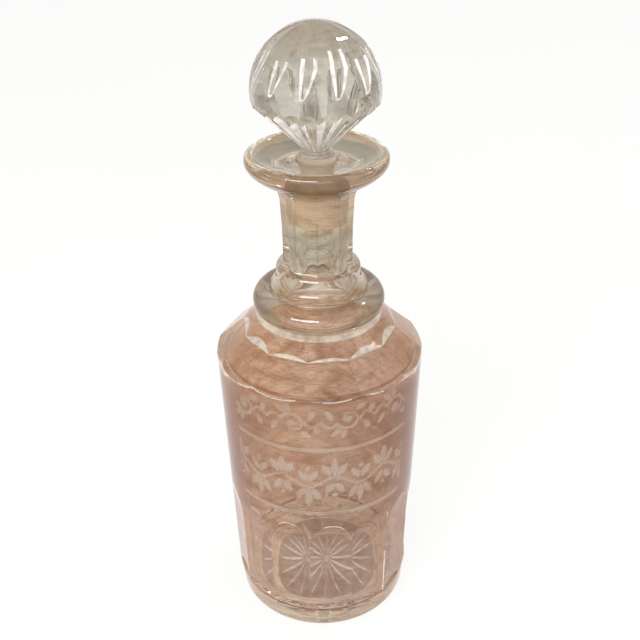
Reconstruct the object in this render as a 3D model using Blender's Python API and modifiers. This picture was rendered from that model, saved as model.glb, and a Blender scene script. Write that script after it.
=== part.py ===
"""A cut-glass spirit decanter that holds about a quart.

Three pieces of clear glass stand on one axis: the blown and cut bottle, the
ring laid round the root of its neck, and the solid ball stopper, whose peg is
ground to the neck. All lengths are in metres, and +Z is up.
"""

import math

import bmesh
import bpy
from mathutils import Matrix, Vector

MM = 0.001

# Running clearance between pieces that touch on the real object
FIT_GAP = 0.3 * MM

# Body: a tube that widens a little towards the shoulder
BODY_BASE_RADIUS = 48.7 * MM
BODY_FLARE = 4.1 * MM
BODY_TOP_RADIUS = BODY_BASE_RADIUS + BODY_FLARE
BODY_WALL = 4.2 * MM
FLOOR_HEIGHT = 12.0 * MM
FLOOR_CORNER = 9.0 * MM
SHOULDER_HEIGHT = 156.0 * MM

# Heel: the plain band under the basal flutes, the flat land and the hollow inside it
HEEL_HEIGHT = 14.5 * MM
HEEL_STEP = 0.4 * MM
HEEL_DRAFT = 1.3 * MM
HEEL_ROUND = 2.5 * MM
LAND_WIDTH = 8.5 * MM
KICK_DEPTH = 1.0 * MM
LAND_RADIUS = BODY_BASE_RADIUS - HEEL_STEP - HEEL_DRAFT - HEEL_ROUND
KICK_RADIUS = LAND_RADIUS - LAND_WIDTH

# Shoulder: a tight bend, a shallow cone and a cove that ends at the ring's shelf
SHOULDER_BEND = 6.0 * MM
CONE_RADIUS = 39.7 * MM
CONE_RISE = 13.5 * MM
COVE_RADIUS = 31.7 * MM
COVE_RISE = 7.3 * MM
SHELF_RADIUS = 28.8 * MM
SHELF_RISE = 1.5 * MM
CONE_HEIGHT = SHOULDER_HEIGHT + CONE_RISE
COVE_HEIGHT = CONE_HEIGHT + COVE_RISE
SHELF_HEIGHT = COVE_HEIGHT + SHELF_RISE

# Neck ring, and the root that it sits round
ROOT_RADIUS = 24.0 * MM
RING_RADIUS = 33.0 * MM
RING_THICKNESS = 13.2 * MM
ROOT_ABOVE_RING = 2.0 * MM
ROOT_TOP_HEIGHT = SHELF_HEIGHT + RING_THICKNESS + ROOT_ABOVE_RING

# Neck, with the collar at its foot
NECK_RADIUS = 18.3 * MM
NECK_LENGTH = 33.8 * MM
COLLAR_STEP = 2.5 * MM
COLLAR_DEPTH = 4.7 * MM
COLLAR_ROUND = 1.6 * MM
COLLAR_ROUND_END = 75.0
COLLAR_COVE_RISE = 6.0 * MM
COLLAR_RADIUS = NECK_RADIUS + COLLAR_STEP
COLLAR_FOOT_HEIGHT = ROOT_TOP_HEIGHT + COLLAR_COVE_RISE
COLLAR_TOP_HEIGHT = COLLAR_FOOT_HEIGHT + COLLAR_DEPTH
NECK_TOP_HEIGHT = COLLAR_TOP_HEIGHT + NECK_LENGTH

# Flared lip: heights above the neck's top of the sharp corners under the rounded outline
FLARE_CORNER_RISE = 6.4 * MM
LIP_CORNER_RISE = 15.8 * MM
LIP_EDGE_RISE = 19.3 * MM
LIP_TOP_RISE = 23.3 * MM
LIP_RADIUS = 33.9 * MM
LIP_ROUND = 3.0 * MM
LIP_DISH_DEPTH = 3.7 * MM
LIP_DISH_SHARE = 0.75
LIP_TOP_HEIGHT = NECK_TOP_HEIGHT + LIP_TOP_RISE

# Bore: a ground taper for the stopper's peg, then a plain throat
MOUTH_RADIUS = 9.6 * MM
MOUTH_ROUND = 1.2 * MM
MOUTH_ROUND_START = 150.0
BORE_RADIUS = 8.8 * MM
SEAT_LENGTH = 31.0 * MM
THROAT_ABOVE_COLLAR = 1.8 * MM
MOUTH_HEIGHT = LIP_TOP_HEIGHT - LIP_DISH_DEPTH

# Neck panels: flat cuts side by side all round
PANEL_COUNT = 10
PANEL_TURN = -1.8
PANEL_DEPTH = 1.5 * MM
PANEL_TOP_DEPTH = 0.7 * MM
PANEL_FOOT_SINK = 0.5 * MM
PANEL_FOOT_ROUND = 3.0 * MM
PANEL_HEAD_RISE = 10.4 * MM
PANEL_HEAD_ROUND = 9.0 * MM
PANEL_HEAD_TURN = 78.0

# Shoulder slices: flat cuts across the bend and the cone
SLICE_COUNT = 12
SLICE_TURN = -8.5
SLICE_FOOT_RISE = 1.8 * MM
SLICE_FOOT_DEPTH = 0.2 * MM
SLICE_HEAD_DROP = 0.2 * MM
SLICE_STOP_WIDTH = 1.8 * MM

# Basal flutes: flat cuts that run out in arches up the body
FLUTE_COUNT = 14
FLUTE_TURN = -7.6
FLUTE_DEPTH = 1.35 * MM
FLUTE_TOP_HEIGHT = 77.0 * MM
FLUTE_WHEEL_RADIUS = 100.0 * MM
FLUTE_ARCH_STEPS = 4

# Star cut into the underside
STAR_RAYS = 16
STAR_MARGIN = 2.5 * MM
STAR_HUB_RADIUS = 2.6 * MM
STAR_RAY_WIDTH = 3.4 * MM
STAR_RAY_DEPTH = 1.7 * MM
STAR_RADIUS = KICK_RADIUS - STAR_MARGIN

# Stopper, from the peg up: ground peg, bead, stem, cone and ball
PEG_SHORTER = 1.5 * MM
PEG_TOP_RISE = 0.6 * MM
PEG_END_ROUND = 1.2 * MM
BEAD_RADIUS = 8.2 * MM
BEAD_FOOT_RISE = 1.9 * MM
BEAD_TOP_RISE = 4.0 * MM
BEAD_CHAMFER = 0.8 * MM
STEM_RADIUS = 6.0 * MM
STEM_FOOT_RISE = 4.4 * MM
STEM_TOP_RISE = 5.1 * MM
CONE_LENGTH = 21.8 * MM
CENTRE_ABOVE_CONE = 5.8 * MM
BALL_RADIUS = 29.7 * MM
STEM_TOP_HEIGHT = MOUTH_HEIGHT + STEM_TOP_RISE
CONE_TOP_HEIGHT = STEM_TOP_HEIGHT + CONE_LENGTH
BALL_CENTRE_HEIGHT = CONE_TOP_HEIGHT + CENTRE_ABOVE_CONE

# Hollow flutes up the ball, measured in degrees of latitude, and narrow ones down its cone
BALL_FLUTES = 12
BALL_FLUTE_TURN = 16.0
BALL_FLUTE_WHEEL = 30.0 * MM
BALL_FLUTE_SIDES = 32
BALL_FLUTE_BELOW = -8.0
BALL_FLUTE_TIP = -2.0
BALL_FLUTE_TOP = 80.0
BALL_FLUTE_DEEPENS = 0.052 * MM
BALL_FLUTE_OVERLAP = 1.02
BALL_FLUTE_STEPS = 16
CONE_FLUTES = 24
CONE_FLUTE_DEPTH_SHARE = 0.05
CONE_FLUTE_SIDES = 16

# Fineness of the turned surfaces, and the angle between faces that reads as a cut edge
TURN_STEPS = 48
RING_STEPS = 12
BALL_STEPS = 18
BEND_STEPS = 4
CUT_EDGE_ANGLE = 17.5

# How far a cutter or an envelope reaches past the glass
MARGIN = 8.0 * MM

GLASS_IOR = 1.52
GLASS_ROUGHNESS = 0.03
BODY_TINT = (0.86, 0.74, 0.68)
RING_TINT = (0.80, 0.76, 0.66)
STOPPER_TINT = (0.82, 0.85, 0.80)


def clear_scene():
    """Remove every object, so that the script can be run again."""
    for item in list(bpy.data.objects):
        bpy.data.objects.remove(item, do_unlink=True)


def new_collection(name, hidden=False):
    """Link a fresh collection to the scene."""
    group = bpy.data.collections.new(name)
    bpy.context.scene.collection.children.link(group)
    group.hide_render = hidden
    return group


def glass_material(name, colour):
    """Clear glass with a slight tint of its own."""
    material = bpy.data.materials.new(name)
    material.use_nodes = True
    shader = material.node_tree.nodes["Principled BSDF"]
    shader.inputs["Base Color"].default_value = (*colour, 1.0)
    shader.inputs["Roughness"].default_value = GLASS_ROUGHNESS
    shader.inputs["Metallic"].default_value = 0.0
    shader.inputs["Transmission Weight"].default_value = 1.0
    shader.inputs["IOR"].default_value = GLASS_IOR
    material.diffuse_color = (*colour, 0.4)
    return material


def between(low, high, share):
    """The value a share of the way from low to high."""
    return low + (high - low) * share


def arc(centre, radius, start, end, steps=BEND_STEPS):
    """Points (radius from the axis, height) along an arc, angles in degrees from outwards to up."""
    angles = [math.radians(between(start, end, i / steps)) for i in range(steps + 1)]
    return [(centre[0] + radius * math.cos(a), centre[1] + radius * math.sin(a)) for a in angles]


def bend(start, corner, end, steps=BEND_STEPS):
    """Points of the curve that leaves start towards the corner and comes to the end from it."""
    first = Vector(start)
    middle = Vector(corner)
    last = Vector(end)
    points = []
    for i in range(steps + 1):
        share = i / steps
        points.append(tuple(first.lerp(middle, share).lerp(middle.lerp(last, share), share)))
    return points


def body_radius(height):
    """Outer radius of the uncut body at a height."""
    share = (height - HEEL_HEIGHT) / (SHOULDER_HEIGHT - HEEL_HEIGHT)
    return between(BODY_BASE_RADIUS, BODY_TOP_RADIUS, share)


def seat_radius(height):
    """Radius of the ground taper in the neck at a height."""
    share = (MOUTH_HEIGHT - height) / SEAT_LENGTH
    return between(MOUTH_RADIUS, BORE_RADIUS, share)


def new_mesh_object(name, mesh, group, turn=0.0):
    """An object for a mesh, turned about the decanter's axis by degrees."""
    item = bpy.data.objects.new(name, mesh)
    item.rotation_euler = (0.0, 0.0, math.radians(turn))
    group.objects.link(item)
    return item


def object_from_bmesh(name, shape, group, turn=0.0):
    """An object that holds a finished bmesh."""
    mesh = bpy.data.meshes.new(name)
    shape.to_mesh(mesh)
    shape.free()
    return new_mesh_object(name, mesh, group, turn)


def turned(name, outline, group, steps=TURN_STEPS, turn=0.0, closed=False):
    """A solid of revolution about Z from an outline of (radius, height) points."""
    shape = bmesh.new()
    corners = [shape.verts.new((radius, 0.0, height)) for radius, height in outline]
    for first, second in zip(corners, corners[1:]):
        shape.edges.new((first, second))
    if closed:
        shape.edges.new((corners[-1], corners[0]))
    item = object_from_bmesh(name, shape, group, turn)
    screw = item.modifiers.new("turn", "SCREW")
    screw.steps = steps
    screw.render_steps = steps
    screw.use_merge_vertices = True
    screw.merge_threshold = 0.001 * MM
    screw.use_smooth_shade = True
    return item


def cut(item, cutter, operation="DIFFERENCE"):
    """Cut a solid with another, or keep only what both hold."""
    boolean = item.modifiers.new(cutter.name, "BOOLEAN")
    boolean.operation = operation
    boolean.solver = "EXACT"
    boolean.object = cutter


def finish(item, material):
    """Settle the cuts into the mesh, keep the cut edges crisp and the rest smooth."""
    graph = bpy.context.evaluated_depsgraph_get()
    mesh = bpy.data.meshes.new_from_object(item.evaluated_get(graph))
    item.modifiers.clear()
    item.data = mesh
    mesh.name = item.name
    mesh.materials.clear()
    mesh.materials.append(material)
    mesh.shade_smooth()
    mesh.set_sharp_from_angle(angle=math.radians(CUT_EDGE_ANGLE))


def as_cutter(item):
    """Show a cutter as wire only."""
    item.hide_render = True
    item.display_type = "WIRE"
    return item


def envelope(name, outline, sides, turn, group):
    """A flat-sided column that a solid is cut down to; radii are to the middle of a side.

    The outline runs from the column's top to its foot; both ends lie clear of the glass.
    """
    reach = BODY_TOP_RADIUS + MARGIN
    top = LIP_TOP_HEIGHT + MARGIN
    whole = [(0.0, top), (reach, top)] + outline + [(reach, -MARGIN), (0.0, -MARGIN)]
    to_corner = 1.0 / math.cos(math.pi / sides)
    corners = [(radius * to_corner, height) for radius, height in whole]
    return as_cutter(turned(name, corners, group, steps=sides, turn=turn - 90.0))


def shoulder_slope():
    """Slope of the shoulder's cone from level, in radians."""
    bend_reach = 0.5 * SHOULDER_BEND
    rise = CONE_RISE - bend_reach
    run = BODY_TOP_RADIUS - bend_reach - CONE_RADIUS
    return math.atan2(rise, run)


def bottle_inside():
    """Outline of the cavity and bore, from the middle of the floor up to the mouth."""
    corner_height = FLOOR_HEIGHT + FLOOR_CORNER
    corner_radius = body_radius(corner_height) - BODY_WALL - FLOOR_CORNER
    outline = [(0.0, FLOOR_HEIGHT)]
    outline += arc((corner_radius, corner_height), FLOOR_CORNER, -90, 0)

    slope = shoulder_slope()
    inner_bend = 0.5 * SHOULDER_BEND
    bend_height = SHOULDER_HEIGHT - 0.5 * BODY_WALL
    bend_radius = body_radius(bend_height) - BODY_WALL - inner_bend
    outline += arc((bend_radius, bend_height), inner_bend, 0, 90 - math.degrees(slope), steps=3)

    cone = (CONE_RADIUS - BODY_WALL * math.sin(slope), CONE_HEIGHT - BODY_WALL * math.cos(slope))
    cove_corner = (0.5 * ROOT_RADIUS, SHELF_HEIGHT + 0.5 * BODY_WALL)
    throat = (BORE_RADIUS, COLLAR_TOP_HEIGHT + THROAT_ABOVE_COLLAR)
    outline += bend(cone, cove_corner, throat, steps=6)

    outline.append((BORE_RADIUS, MOUTH_HEIGHT - SEAT_LENGTH))
    outline.append((seat_radius(MOUTH_HEIGHT - MOUTH_ROUND), MOUTH_HEIGHT - MOUTH_ROUND))
    return outline


def bottle_lip():
    """Outline over the dished top of the lip and back under it to the neck."""
    mouth_rim = MOUTH_RADIUS + MOUTH_ROUND
    centre = (mouth_rim, MOUTH_HEIGHT - MOUTH_ROUND)
    outline = arc(centre, MOUTH_ROUND, MOUTH_ROUND_START, 90, steps=3)[:-1]

    crest = (LIP_RADIUS - LIP_ROUND, LIP_TOP_HEIGHT)
    dish = (between(MOUTH_RADIUS, LIP_RADIUS, LIP_DISH_SHARE), MOUTH_HEIGHT)
    outline += bend((mouth_rim, MOUTH_HEIGHT), dish, crest)
    outline += arc((crest[0], LIP_TOP_HEIGHT - LIP_ROUND), LIP_ROUND, 70, 10)

    lip_corner = (LIP_RADIUS, NECK_TOP_HEIGHT + LIP_CORNER_RISE)
    flare_corner = (NECK_RADIUS, NECK_TOP_HEIGHT + FLARE_CORNER_RISE)
    middle = tuple(Vector(lip_corner).lerp(Vector(flare_corner), 0.5))
    outline += bend((LIP_RADIUS, NECK_TOP_HEIGHT + LIP_EDGE_RISE), lip_corner, middle)[:-1]
    outline += bend(middle, flare_corner, (NECK_RADIUS, NECK_TOP_HEIGHT))
    return outline


def bottle_neck():
    """Outline down the neck, over the collar and the ring's root to the shelf."""
    outline = [(NECK_RADIUS, COLLAR_TOP_HEIGHT + 2 * COLLAR_ROUND)]
    centre = (COLLAR_RADIUS - COLLAR_ROUND, COLLAR_TOP_HEIGHT - COLLAR_ROUND)
    outline += arc(centre, COLLAR_ROUND, COLLAR_ROUND_END, 0, steps=3)
    corner = (COLLAR_RADIUS, between(ROOT_TOP_HEIGHT, COLLAR_FOOT_HEIGHT, 0.3))
    outline += bend((COLLAR_RADIUS, COLLAR_FOOT_HEIGHT), corner, (ROOT_RADIUS, ROOT_TOP_HEIGHT))
    outline += [(ROOT_RADIUS, SHELF_HEIGHT), (SHELF_RADIUS, SHELF_HEIGHT)]
    return outline


def bottle_shoulder():
    """Outline from the cove under the ring, down the cone and round the bend."""
    slope = shoulder_slope()
    cone = (CONE_RADIUS, CONE_HEIGHT)
    corner = (between(COVE_RADIUS, CONE_RADIUS, 0.5), between(COVE_HEIGHT, CONE_HEIGHT, 0.52))
    outline = bend((COVE_RADIUS, COVE_HEIGHT), corner, cone)
    centre = (BODY_TOP_RADIUS - SHOULDER_BEND, SHOULDER_HEIGHT)
    outline += arc(centre, SHOULDER_BEND, 90 - math.degrees(slope), 0)
    return outline


def bottle_foot():
    """Outline down the body, round the plain heel and under the base to the axis."""
    heel_radius = BODY_BASE_RADIUS - HEEL_STEP
    outline = [(BODY_BASE_RADIUS, HEEL_HEIGHT), (heel_radius, HEEL_HEIGHT)]
    outline += arc((LAND_RADIUS, HEEL_ROUND), HEEL_ROUND, 0, -90, steps=5)
    outline += [(KICK_RADIUS, 0.0), (KICK_RADIUS - KICK_DEPTH, KICK_DEPTH), (0.0, KICK_DEPTH)]
    return outline


def neck_envelope(group):
    """Column that leaves the neck with flat panels, scooped at the head and square at the foot."""
    reach = BODY_TOP_RADIUS + MARGIN
    head_height = NECK_TOP_HEIGHT + PANEL_HEAD_RISE
    foot_height = COLLAR_TOP_HEIGHT - PANEL_FOOT_SINK
    panel_distance = NECK_RADIUS - PANEL_DEPTH
    scoop_drop = PANEL_HEAD_ROUND * math.sin(math.radians(PANEL_HEAD_TURN))
    scoop_centre = (NECK_RADIUS - PANEL_TOP_DEPTH + PANEL_HEAD_ROUND, head_height - scoop_drop)
    foot_centre = (panel_distance + PANEL_FOOT_ROUND, foot_height + PANEL_FOOT_ROUND)
    outline = [(reach, head_height)]
    outline += arc(scoop_centre, PANEL_HEAD_ROUND, 180 - PANEL_HEAD_TURN, 180)
    outline.append((panel_distance, between(foot_height, head_height, 0.5)))
    outline += arc(foot_centre, PANEL_FOOT_ROUND, 180, 270, steps=3)
    outline.append((reach, foot_height))
    return envelope("neck_envelope", outline, PANEL_COUNT, PANEL_TURN, group)


def shoulder_envelope(group):
    """Column that slices the shoulder flat from the bend to the top of the cone."""
    reach = BODY_TOP_RADIUS + MARGIN
    to_side = math.cos(math.pi / SLICE_COUNT)
    foot = Vector(((BODY_TOP_RADIUS - SLICE_FOOT_DEPTH) * to_side, SHOULDER_HEIGHT + SLICE_FOOT_RISE))
    head = Vector((CONE_RADIUS * to_side, CONE_HEIGHT - SLICE_HEAD_DROP))
    stop_radius = CONE_RADIUS - SLICE_STOP_WIDTH
    stop = foot.lerp(head, (foot.x - stop_radius) / (foot.x - head.x))
    outside = foot.lerp(head, (foot.x - BODY_TOP_RADIUS - SLICE_STOP_WIDTH) / (foot.x - head.x))
    above = COVE_HEIGHT + MARGIN
    outline = [(reach, above), (stop_radius, above), tuple(stop), tuple(outside), (reach, outside.y)]
    return envelope("shoulder_envelope", outline, SLICE_COUNT, SLICE_TURN, group)


def flute_envelope(group):
    """Column that cuts the basal flutes: along the wall, then run out by the wheel's rim."""
    reach = BODY_TOP_RADIUS + MARGIN
    run_out = math.sqrt(2 * FLUTE_WHEEL_RADIUS * FLUTE_DEPTH)
    straight_top = FLUTE_TOP_HEIGHT - run_out
    outline = []
    for step in range(FLUTE_ARCH_STEPS + 1, -1, -1):
        along = run_out * step / FLUTE_ARCH_STEPS
        lift = along ** 2 / (2 * FLUTE_WHEEL_RADIUS)
        height = straight_top + along
        outline.append((body_radius(height) - FLUTE_DEPTH + lift, height))
    outline.insert(0, (reach, outline[0][1]))
    outline += [(BODY_BASE_RADIUS - FLUTE_DEPTH, HEEL_HEIGHT), (reach, HEEL_HEIGHT)]
    return envelope("flute_envelope", outline, FLUTE_COUNT, FLUTE_TURN, group)


def star_cutter(group):
    """All the rays of the star as long diamonds that cross at the axis, in one mesh."""
    inner = 0.5 * STAR_HUB_RADIUS
    half_length = 0.5 * (STAR_RADIUS - inner)
    size = Matrix.Diagonal((half_length, 0.5 * STAR_RAY_WIDTH, STAR_RAY_DEPTH, 1.0))
    place = Matrix.Translation((inner + half_length, 0.0, KICK_DEPTH)) @ size
    shape = bmesh.new()
    for ray in range(STAR_RAYS):
        turn = Matrix.Rotation(math.tau * ray / STAR_RAYS, 4, "Z")
        bmesh.ops.create_uvsphere(shape, u_segments=4, v_segments=2, radius=1.0, matrix=turn @ place)
    return as_cutter(object_from_bmesh("star_cutter", shape, group))


def star_hub_cutter(group):
    """The shallow hollow ground where the rays meet."""
    deep = KICK_DEPTH + 0.6 * STAR_RAY_DEPTH
    outline = [(0.0, deep)]
    rim = (STAR_HUB_RADIUS, KICK_DEPTH)
    outline += bend((0.5 * STAR_HUB_RADIUS, deep), (STAR_HUB_RADIUS, deep), rim, steps=2)
    outline += [(STAR_HUB_RADIUS, -MARGIN), (0.0, -MARGIN)]
    return as_cutter(turned("star_hub_cutter", outline, group, steps=STAR_RAYS))


def make_bottle(parts, cutters, material):
    """The blown body, neck and lip, with every flat and groove that the wheel cuts."""
    outline = bottle_inside() + bottle_lip() + bottle_neck() + bottle_shoulder() + bottle_foot()
    bottle = turned("bottle", outline, parts)
    cut(bottle, neck_envelope(cutters), "INTERSECT")
    cut(bottle, shoulder_envelope(cutters), "INTERSECT")
    cut(bottle, flute_envelope(cutters), "INTERSECT")
    cut(bottle, star_cutter(cutters))
    cut(bottle, star_hub_cutter(cutters))
    finish(bottle, material)


def make_neck_ring(parts, material):
    """The rounded ring of glass round the root of the neck."""
    low = SHELF_HEIGHT + FIT_GAP
    inner = ROOT_RADIUS + FIT_GAP
    half = 0.5 * RING_THICKNESS
    outline = [(inner, low + RING_THICKNESS)]
    outline += arc((RING_RADIUS - half, low + half), half, 90, -90, steps=RING_STEPS)
    outline.append((inner, low))
    ring = turned("neck_ring", outline, parts, closed=True)
    finish(ring, material)


def stopper_outline():
    """Outline of the stopper before its flutes: ball, cone, stem, bead, ground peg."""
    cone_angle = -math.degrees(math.asin(CENTRE_ABOVE_CONE / BALL_RADIUS))
    outline = [(0.0, BALL_CENTRE_HEIGHT + BALL_RADIUS)]
    outline += arc((0.0, BALL_CENTRE_HEIGHT), BALL_RADIUS, 90, cone_angle, steps=BALL_STEPS)[1:]
    outline += [(STEM_RADIUS, STEM_TOP_HEIGHT), (STEM_RADIUS, MOUTH_HEIGHT + STEM_FOOT_RISE)]

    bead_top = MOUTH_HEIGHT + BEAD_TOP_RISE
    outline += [(BEAD_RADIUS - BEAD_CHAMFER, bead_top), (BEAD_RADIUS, bead_top - BEAD_CHAMFER),
                (BEAD_RADIUS, MOUTH_HEIGHT + BEAD_FOOT_RISE)]

    peg_end = MOUTH_HEIGHT - SEAT_LENGTH + PEG_SHORTER
    end_radius = seat_radius(peg_end) - FIT_GAP
    outline.append((seat_radius(MOUTH_HEIGHT) - FIT_GAP, MOUTH_HEIGHT + PEG_TOP_RISE))
    outline += arc((end_radius - PEG_END_ROUND, peg_end + PEG_END_ROUND), PEG_END_ROUND, 0, -90, steps=3)
    outline.append((0.0, peg_end))
    return outline


def ball_flute_depth(latitude):
    """Depth of a ball flute: it deepens evenly from its pointed tip until it meets its neighbours."""
    deepening = BALL_FLUTE_DEEPENS * (latitude - BALL_FLUTE_TIP)
    to_neighbour = BALL_RADIUS * math.cos(math.radians(latitude)) * math.sin(math.pi / BALL_FLUTES)
    meeting = 0.5 * (to_neighbour * BALL_FLUTE_OVERLAP) ** 2 * (1 / BALL_FLUTE_WHEEL + 1 / BALL_RADIUS)
    return min(deepening, meeting)


def ball_flute_path(turn):
    """The wheel's centre along one meridian of the ball, from clear of it below to near the pole."""
    points = []
    for i in range(BALL_FLUTE_STEPS + 1):
        latitude = between(BALL_FLUTE_BELOW, BALL_FLUTE_TOP, i / BALL_FLUTE_STEPS)
        distance = BALL_RADIUS + BALL_FLUTE_WHEEL - ball_flute_depth(latitude)
        across = distance * math.cos(math.radians(latitude))
        height = BALL_CENTRE_HEIGHT + distance * math.sin(math.radians(latitude))
        points.append((across * math.cos(turn), across * math.sin(turn), height))
    return points


def ball_flute_cutter(index, group):
    """The wheel's rim swept up one meridian of the ball."""
    curve = bpy.data.curves.new("ball_flute_path", "CURVE")
    curve.dimensions = "3D"
    curve.bevel_depth = BALL_FLUTE_WHEEL
    curve.bevel_resolution = BALL_FLUTE_SIDES // 2 - 2
    curve.use_fill_caps = True
    turn = math.radians(BALL_FLUTE_TURN - 90.0 + 360.0 * index / BALL_FLUTES)
    points = ball_flute_path(turn)
    path = curve.splines.new("POLY")
    path.points.add(len(points) - 1)
    for spot, place in zip(path.points, points):
        spot.co = (*place, 1.0)
    return curve_to_cutter("ball_flute_cutter_%02d" % index, curve, group)


def curve_to_cutter(name, curve, group):
    """Turn a bevelled curve into a closed mesh cutter."""
    guide = bpy.data.objects.new(name + "_guide", curve)
    group.objects.link(guide)
    graph = bpy.context.evaluated_depsgraph_get()
    mesh = bpy.data.meshes.new_from_object(guide.evaluated_get(graph))
    bpy.data.objects.remove(guide, do_unlink=True)
    shape = bmesh.new()
    shape.from_mesh(mesh)
    bmesh.ops.remove_doubles(shape, verts=shape.verts, dist=0.001 * MM)
    bmesh.ops.recalc_face_normals(shape, faces=shape.faces)
    return as_cutter(object_from_bmesh(name, shape, group))


def cone_flute_rod():
    """Ends (place, radius) of the tapered rod that cuts one narrow flute down the cone."""
    ball_point = math.sqrt(BALL_RADIUS ** 2 - CENTRE_ABOVE_CONE ** 2)
    top = Vector((ball_point, 0.0, CONE_TOP_HEIGHT))
    foot = Vector((STEM_RADIUS, 0.0, STEM_TOP_HEIGHT))
    down = (foot - top).normalized()
    outward = Vector((-down.z, 0.0, down.x))
    ends = []
    for point, past in ((top, -0.5 * MARGIN), (foot, FIT_GAP * 2)):
        at = point + down * past
        depth = at.x * CONE_FLUTE_DEPTH_SHARE
        half_width = at.x * math.sin(math.pi / CONE_FLUTES)
        radius = (half_width ** 2 + depth ** 2) / (2 * depth)
        ends.append((at + outward * (radius - depth), radius))
    return ends


def cone_flute_cutter(first, group):
    """Every other rod of the ring laid side by side round the cone, in one mesh."""
    (top, top_radius), (foot, foot_radius) = cone_flute_rod()
    along = foot - top
    place = Matrix.Translation((top + foot) * 0.5) @ along.to_track_quat("Z", "Y").to_matrix().to_4x4()
    shape = bmesh.new()
    for index in range(first, CONE_FLUTES, 2):
        turn = Matrix.Rotation(math.tau * (index + 0.5) / CONE_FLUTES, 4, "Z")
        bmesh.ops.create_cone(shape, cap_ends=True, segments=CONE_FLUTE_SIDES, radius1=top_radius,
                              radius2=foot_radius, depth=along.length, matrix=turn @ place)
    return as_cutter(object_from_bmesh("cone_flute_cutter_%d" % first, shape, group, BALL_FLUTE_TURN))


def make_stopper(parts, cutters, material):
    """The solid stopper, its ball and cone fluted, its peg ground to the neck's taper."""
    stopper = turned("stopper", stopper_outline(), parts)
    for index in range(BALL_FLUTES):
        cut(stopper, ball_flute_cutter(index, cutters))
    for first in (0, 1):
        cut(stopper, cone_flute_cutter(first, cutters))
    finish(stopper, material)


def build_decanter():
    """Model the three pieces on one axis."""
    clear_scene()
    parts = new_collection("decanter")
    cutters = new_collection("cutters", hidden=True)
    make_bottle(parts, cutters, glass_material("body_glass", BODY_TINT))
    make_neck_ring(parts, glass_material("ring_glass", RING_TINT))
    make_stopper(parts, cutters, glass_material("stopper_glass", STOPPER_TINT))


build_decanter()
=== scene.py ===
# %% [markdown]
# # A cut-glass decanter, dressed for its portrait
#
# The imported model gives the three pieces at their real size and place. This
# lesson replaces their plain faces with fine ones, so that glass bends light
# as smoothly as the polished real thing does, and then gives each finish its
# own material.

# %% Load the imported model
import math

import bmesh
import bpy
import numpy as np
from mathutils import Matrix, Vector


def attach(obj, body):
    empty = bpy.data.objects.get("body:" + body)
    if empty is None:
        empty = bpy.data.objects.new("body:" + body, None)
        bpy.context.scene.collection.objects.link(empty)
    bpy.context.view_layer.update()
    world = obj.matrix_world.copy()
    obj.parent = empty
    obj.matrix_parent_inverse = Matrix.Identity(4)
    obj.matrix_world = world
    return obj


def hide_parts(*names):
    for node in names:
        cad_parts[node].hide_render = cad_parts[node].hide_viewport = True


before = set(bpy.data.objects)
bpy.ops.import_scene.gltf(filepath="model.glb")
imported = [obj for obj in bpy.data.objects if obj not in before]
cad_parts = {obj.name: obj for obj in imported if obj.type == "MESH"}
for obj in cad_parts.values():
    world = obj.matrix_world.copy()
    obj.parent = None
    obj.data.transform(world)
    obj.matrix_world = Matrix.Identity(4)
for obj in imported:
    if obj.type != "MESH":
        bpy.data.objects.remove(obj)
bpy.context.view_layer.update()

MM = 0.001

# %% [markdown]
# ## Drawing outlines
#
# Turned glass starts as half of its outline, in millimetres from the axis and
# above the table. Arcs and soft bends give all its curves. Long runs get
# extra points, because a fine mesh shades more evenly than a coarse one.


# %% Outline helpers
def between(low, high, share):
    """The value a share of the way from low to high."""
    return low + (high - low) * share


def arc(centre, radius, start, end, steps):
    """Points along an arc, angles in degrees from outwards to up."""
    angles = [math.radians(between(start, end, i / steps)) for i in range(steps + 1)]
    return [(centre[0] + radius * math.cos(a), centre[1] + radius * math.sin(a)) for a in angles]


def bend(start, corner, end, steps):
    """Points of a curve that leaves start towards the corner and ends coming from it."""
    first, middle, last = Vector(start), Vector(corner), Vector(end)
    shares = [i / steps for i in range(steps + 1)]
    return [tuple(first.lerp(middle, s).lerp(middle.lerp(last, s), s)) for s in shares]


def spaced(points, gap):
    """The same outline with extra points, so that no step is longer than the gap."""
    result = [points[0]]
    for here, there in zip(points, points[1:]):
        count = max(1, math.ceil(math.dist(here, there) / gap))
        result += [tuple(Vector(here).lerp(Vector(there), i / count)) for i in range(1, count + 1)]
    return result


# %% [markdown]
# ## A grid rolled into a tube
#
# The wheel's cuts have edges that run up the glass and arches that run across
# it. A Boolean would leave ragged strips of faces there. Instead a flat grid
# is rolled into a tube and each of its points is moved to its place on the
# cut glass, so that rows and columns follow the edges. Its two sides meet and
# are welded, and tubes are joined end to end by bridging their open rims.


# %% Roll a grid and close its seams
def open_tube(shape, rows, columns):
    """A flat grid of faces by row and column, with one column more to close the seam."""
    flat = bmesh.ops.create_grid(shape, x_segments=columns, y_segments=rows - 1, size=1.0)["verts"]
    width = columns + 1
    return [flat[i * width:(i + 1) * width] for i in range(rows)]


def around(values):
    """Values for each column, with the first one again at the end."""
    return np.concatenate([values, values[..., :1]], axis=-1)


def place_grid(grid, radius, angle, height):
    """Move a grid's points to a radius and height in millimetres, at an angle in radians."""
    x = radius * np.cos(angle) * MM
    y = radius * np.sin(angle) * MM
    z = np.broadcast_to(height, x.shape) * MM
    for i, row in enumerate(grid):
        for j, vert in enumerate(row):
            vert.co = (x[i, j], y[i, j], z[i, j])


def weld(shape):
    """Merge the points that meet at seams and poles."""
    bmesh.ops.remove_doubles(shape, verts=shape.verts, dist=0.0005 * MM)


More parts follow.
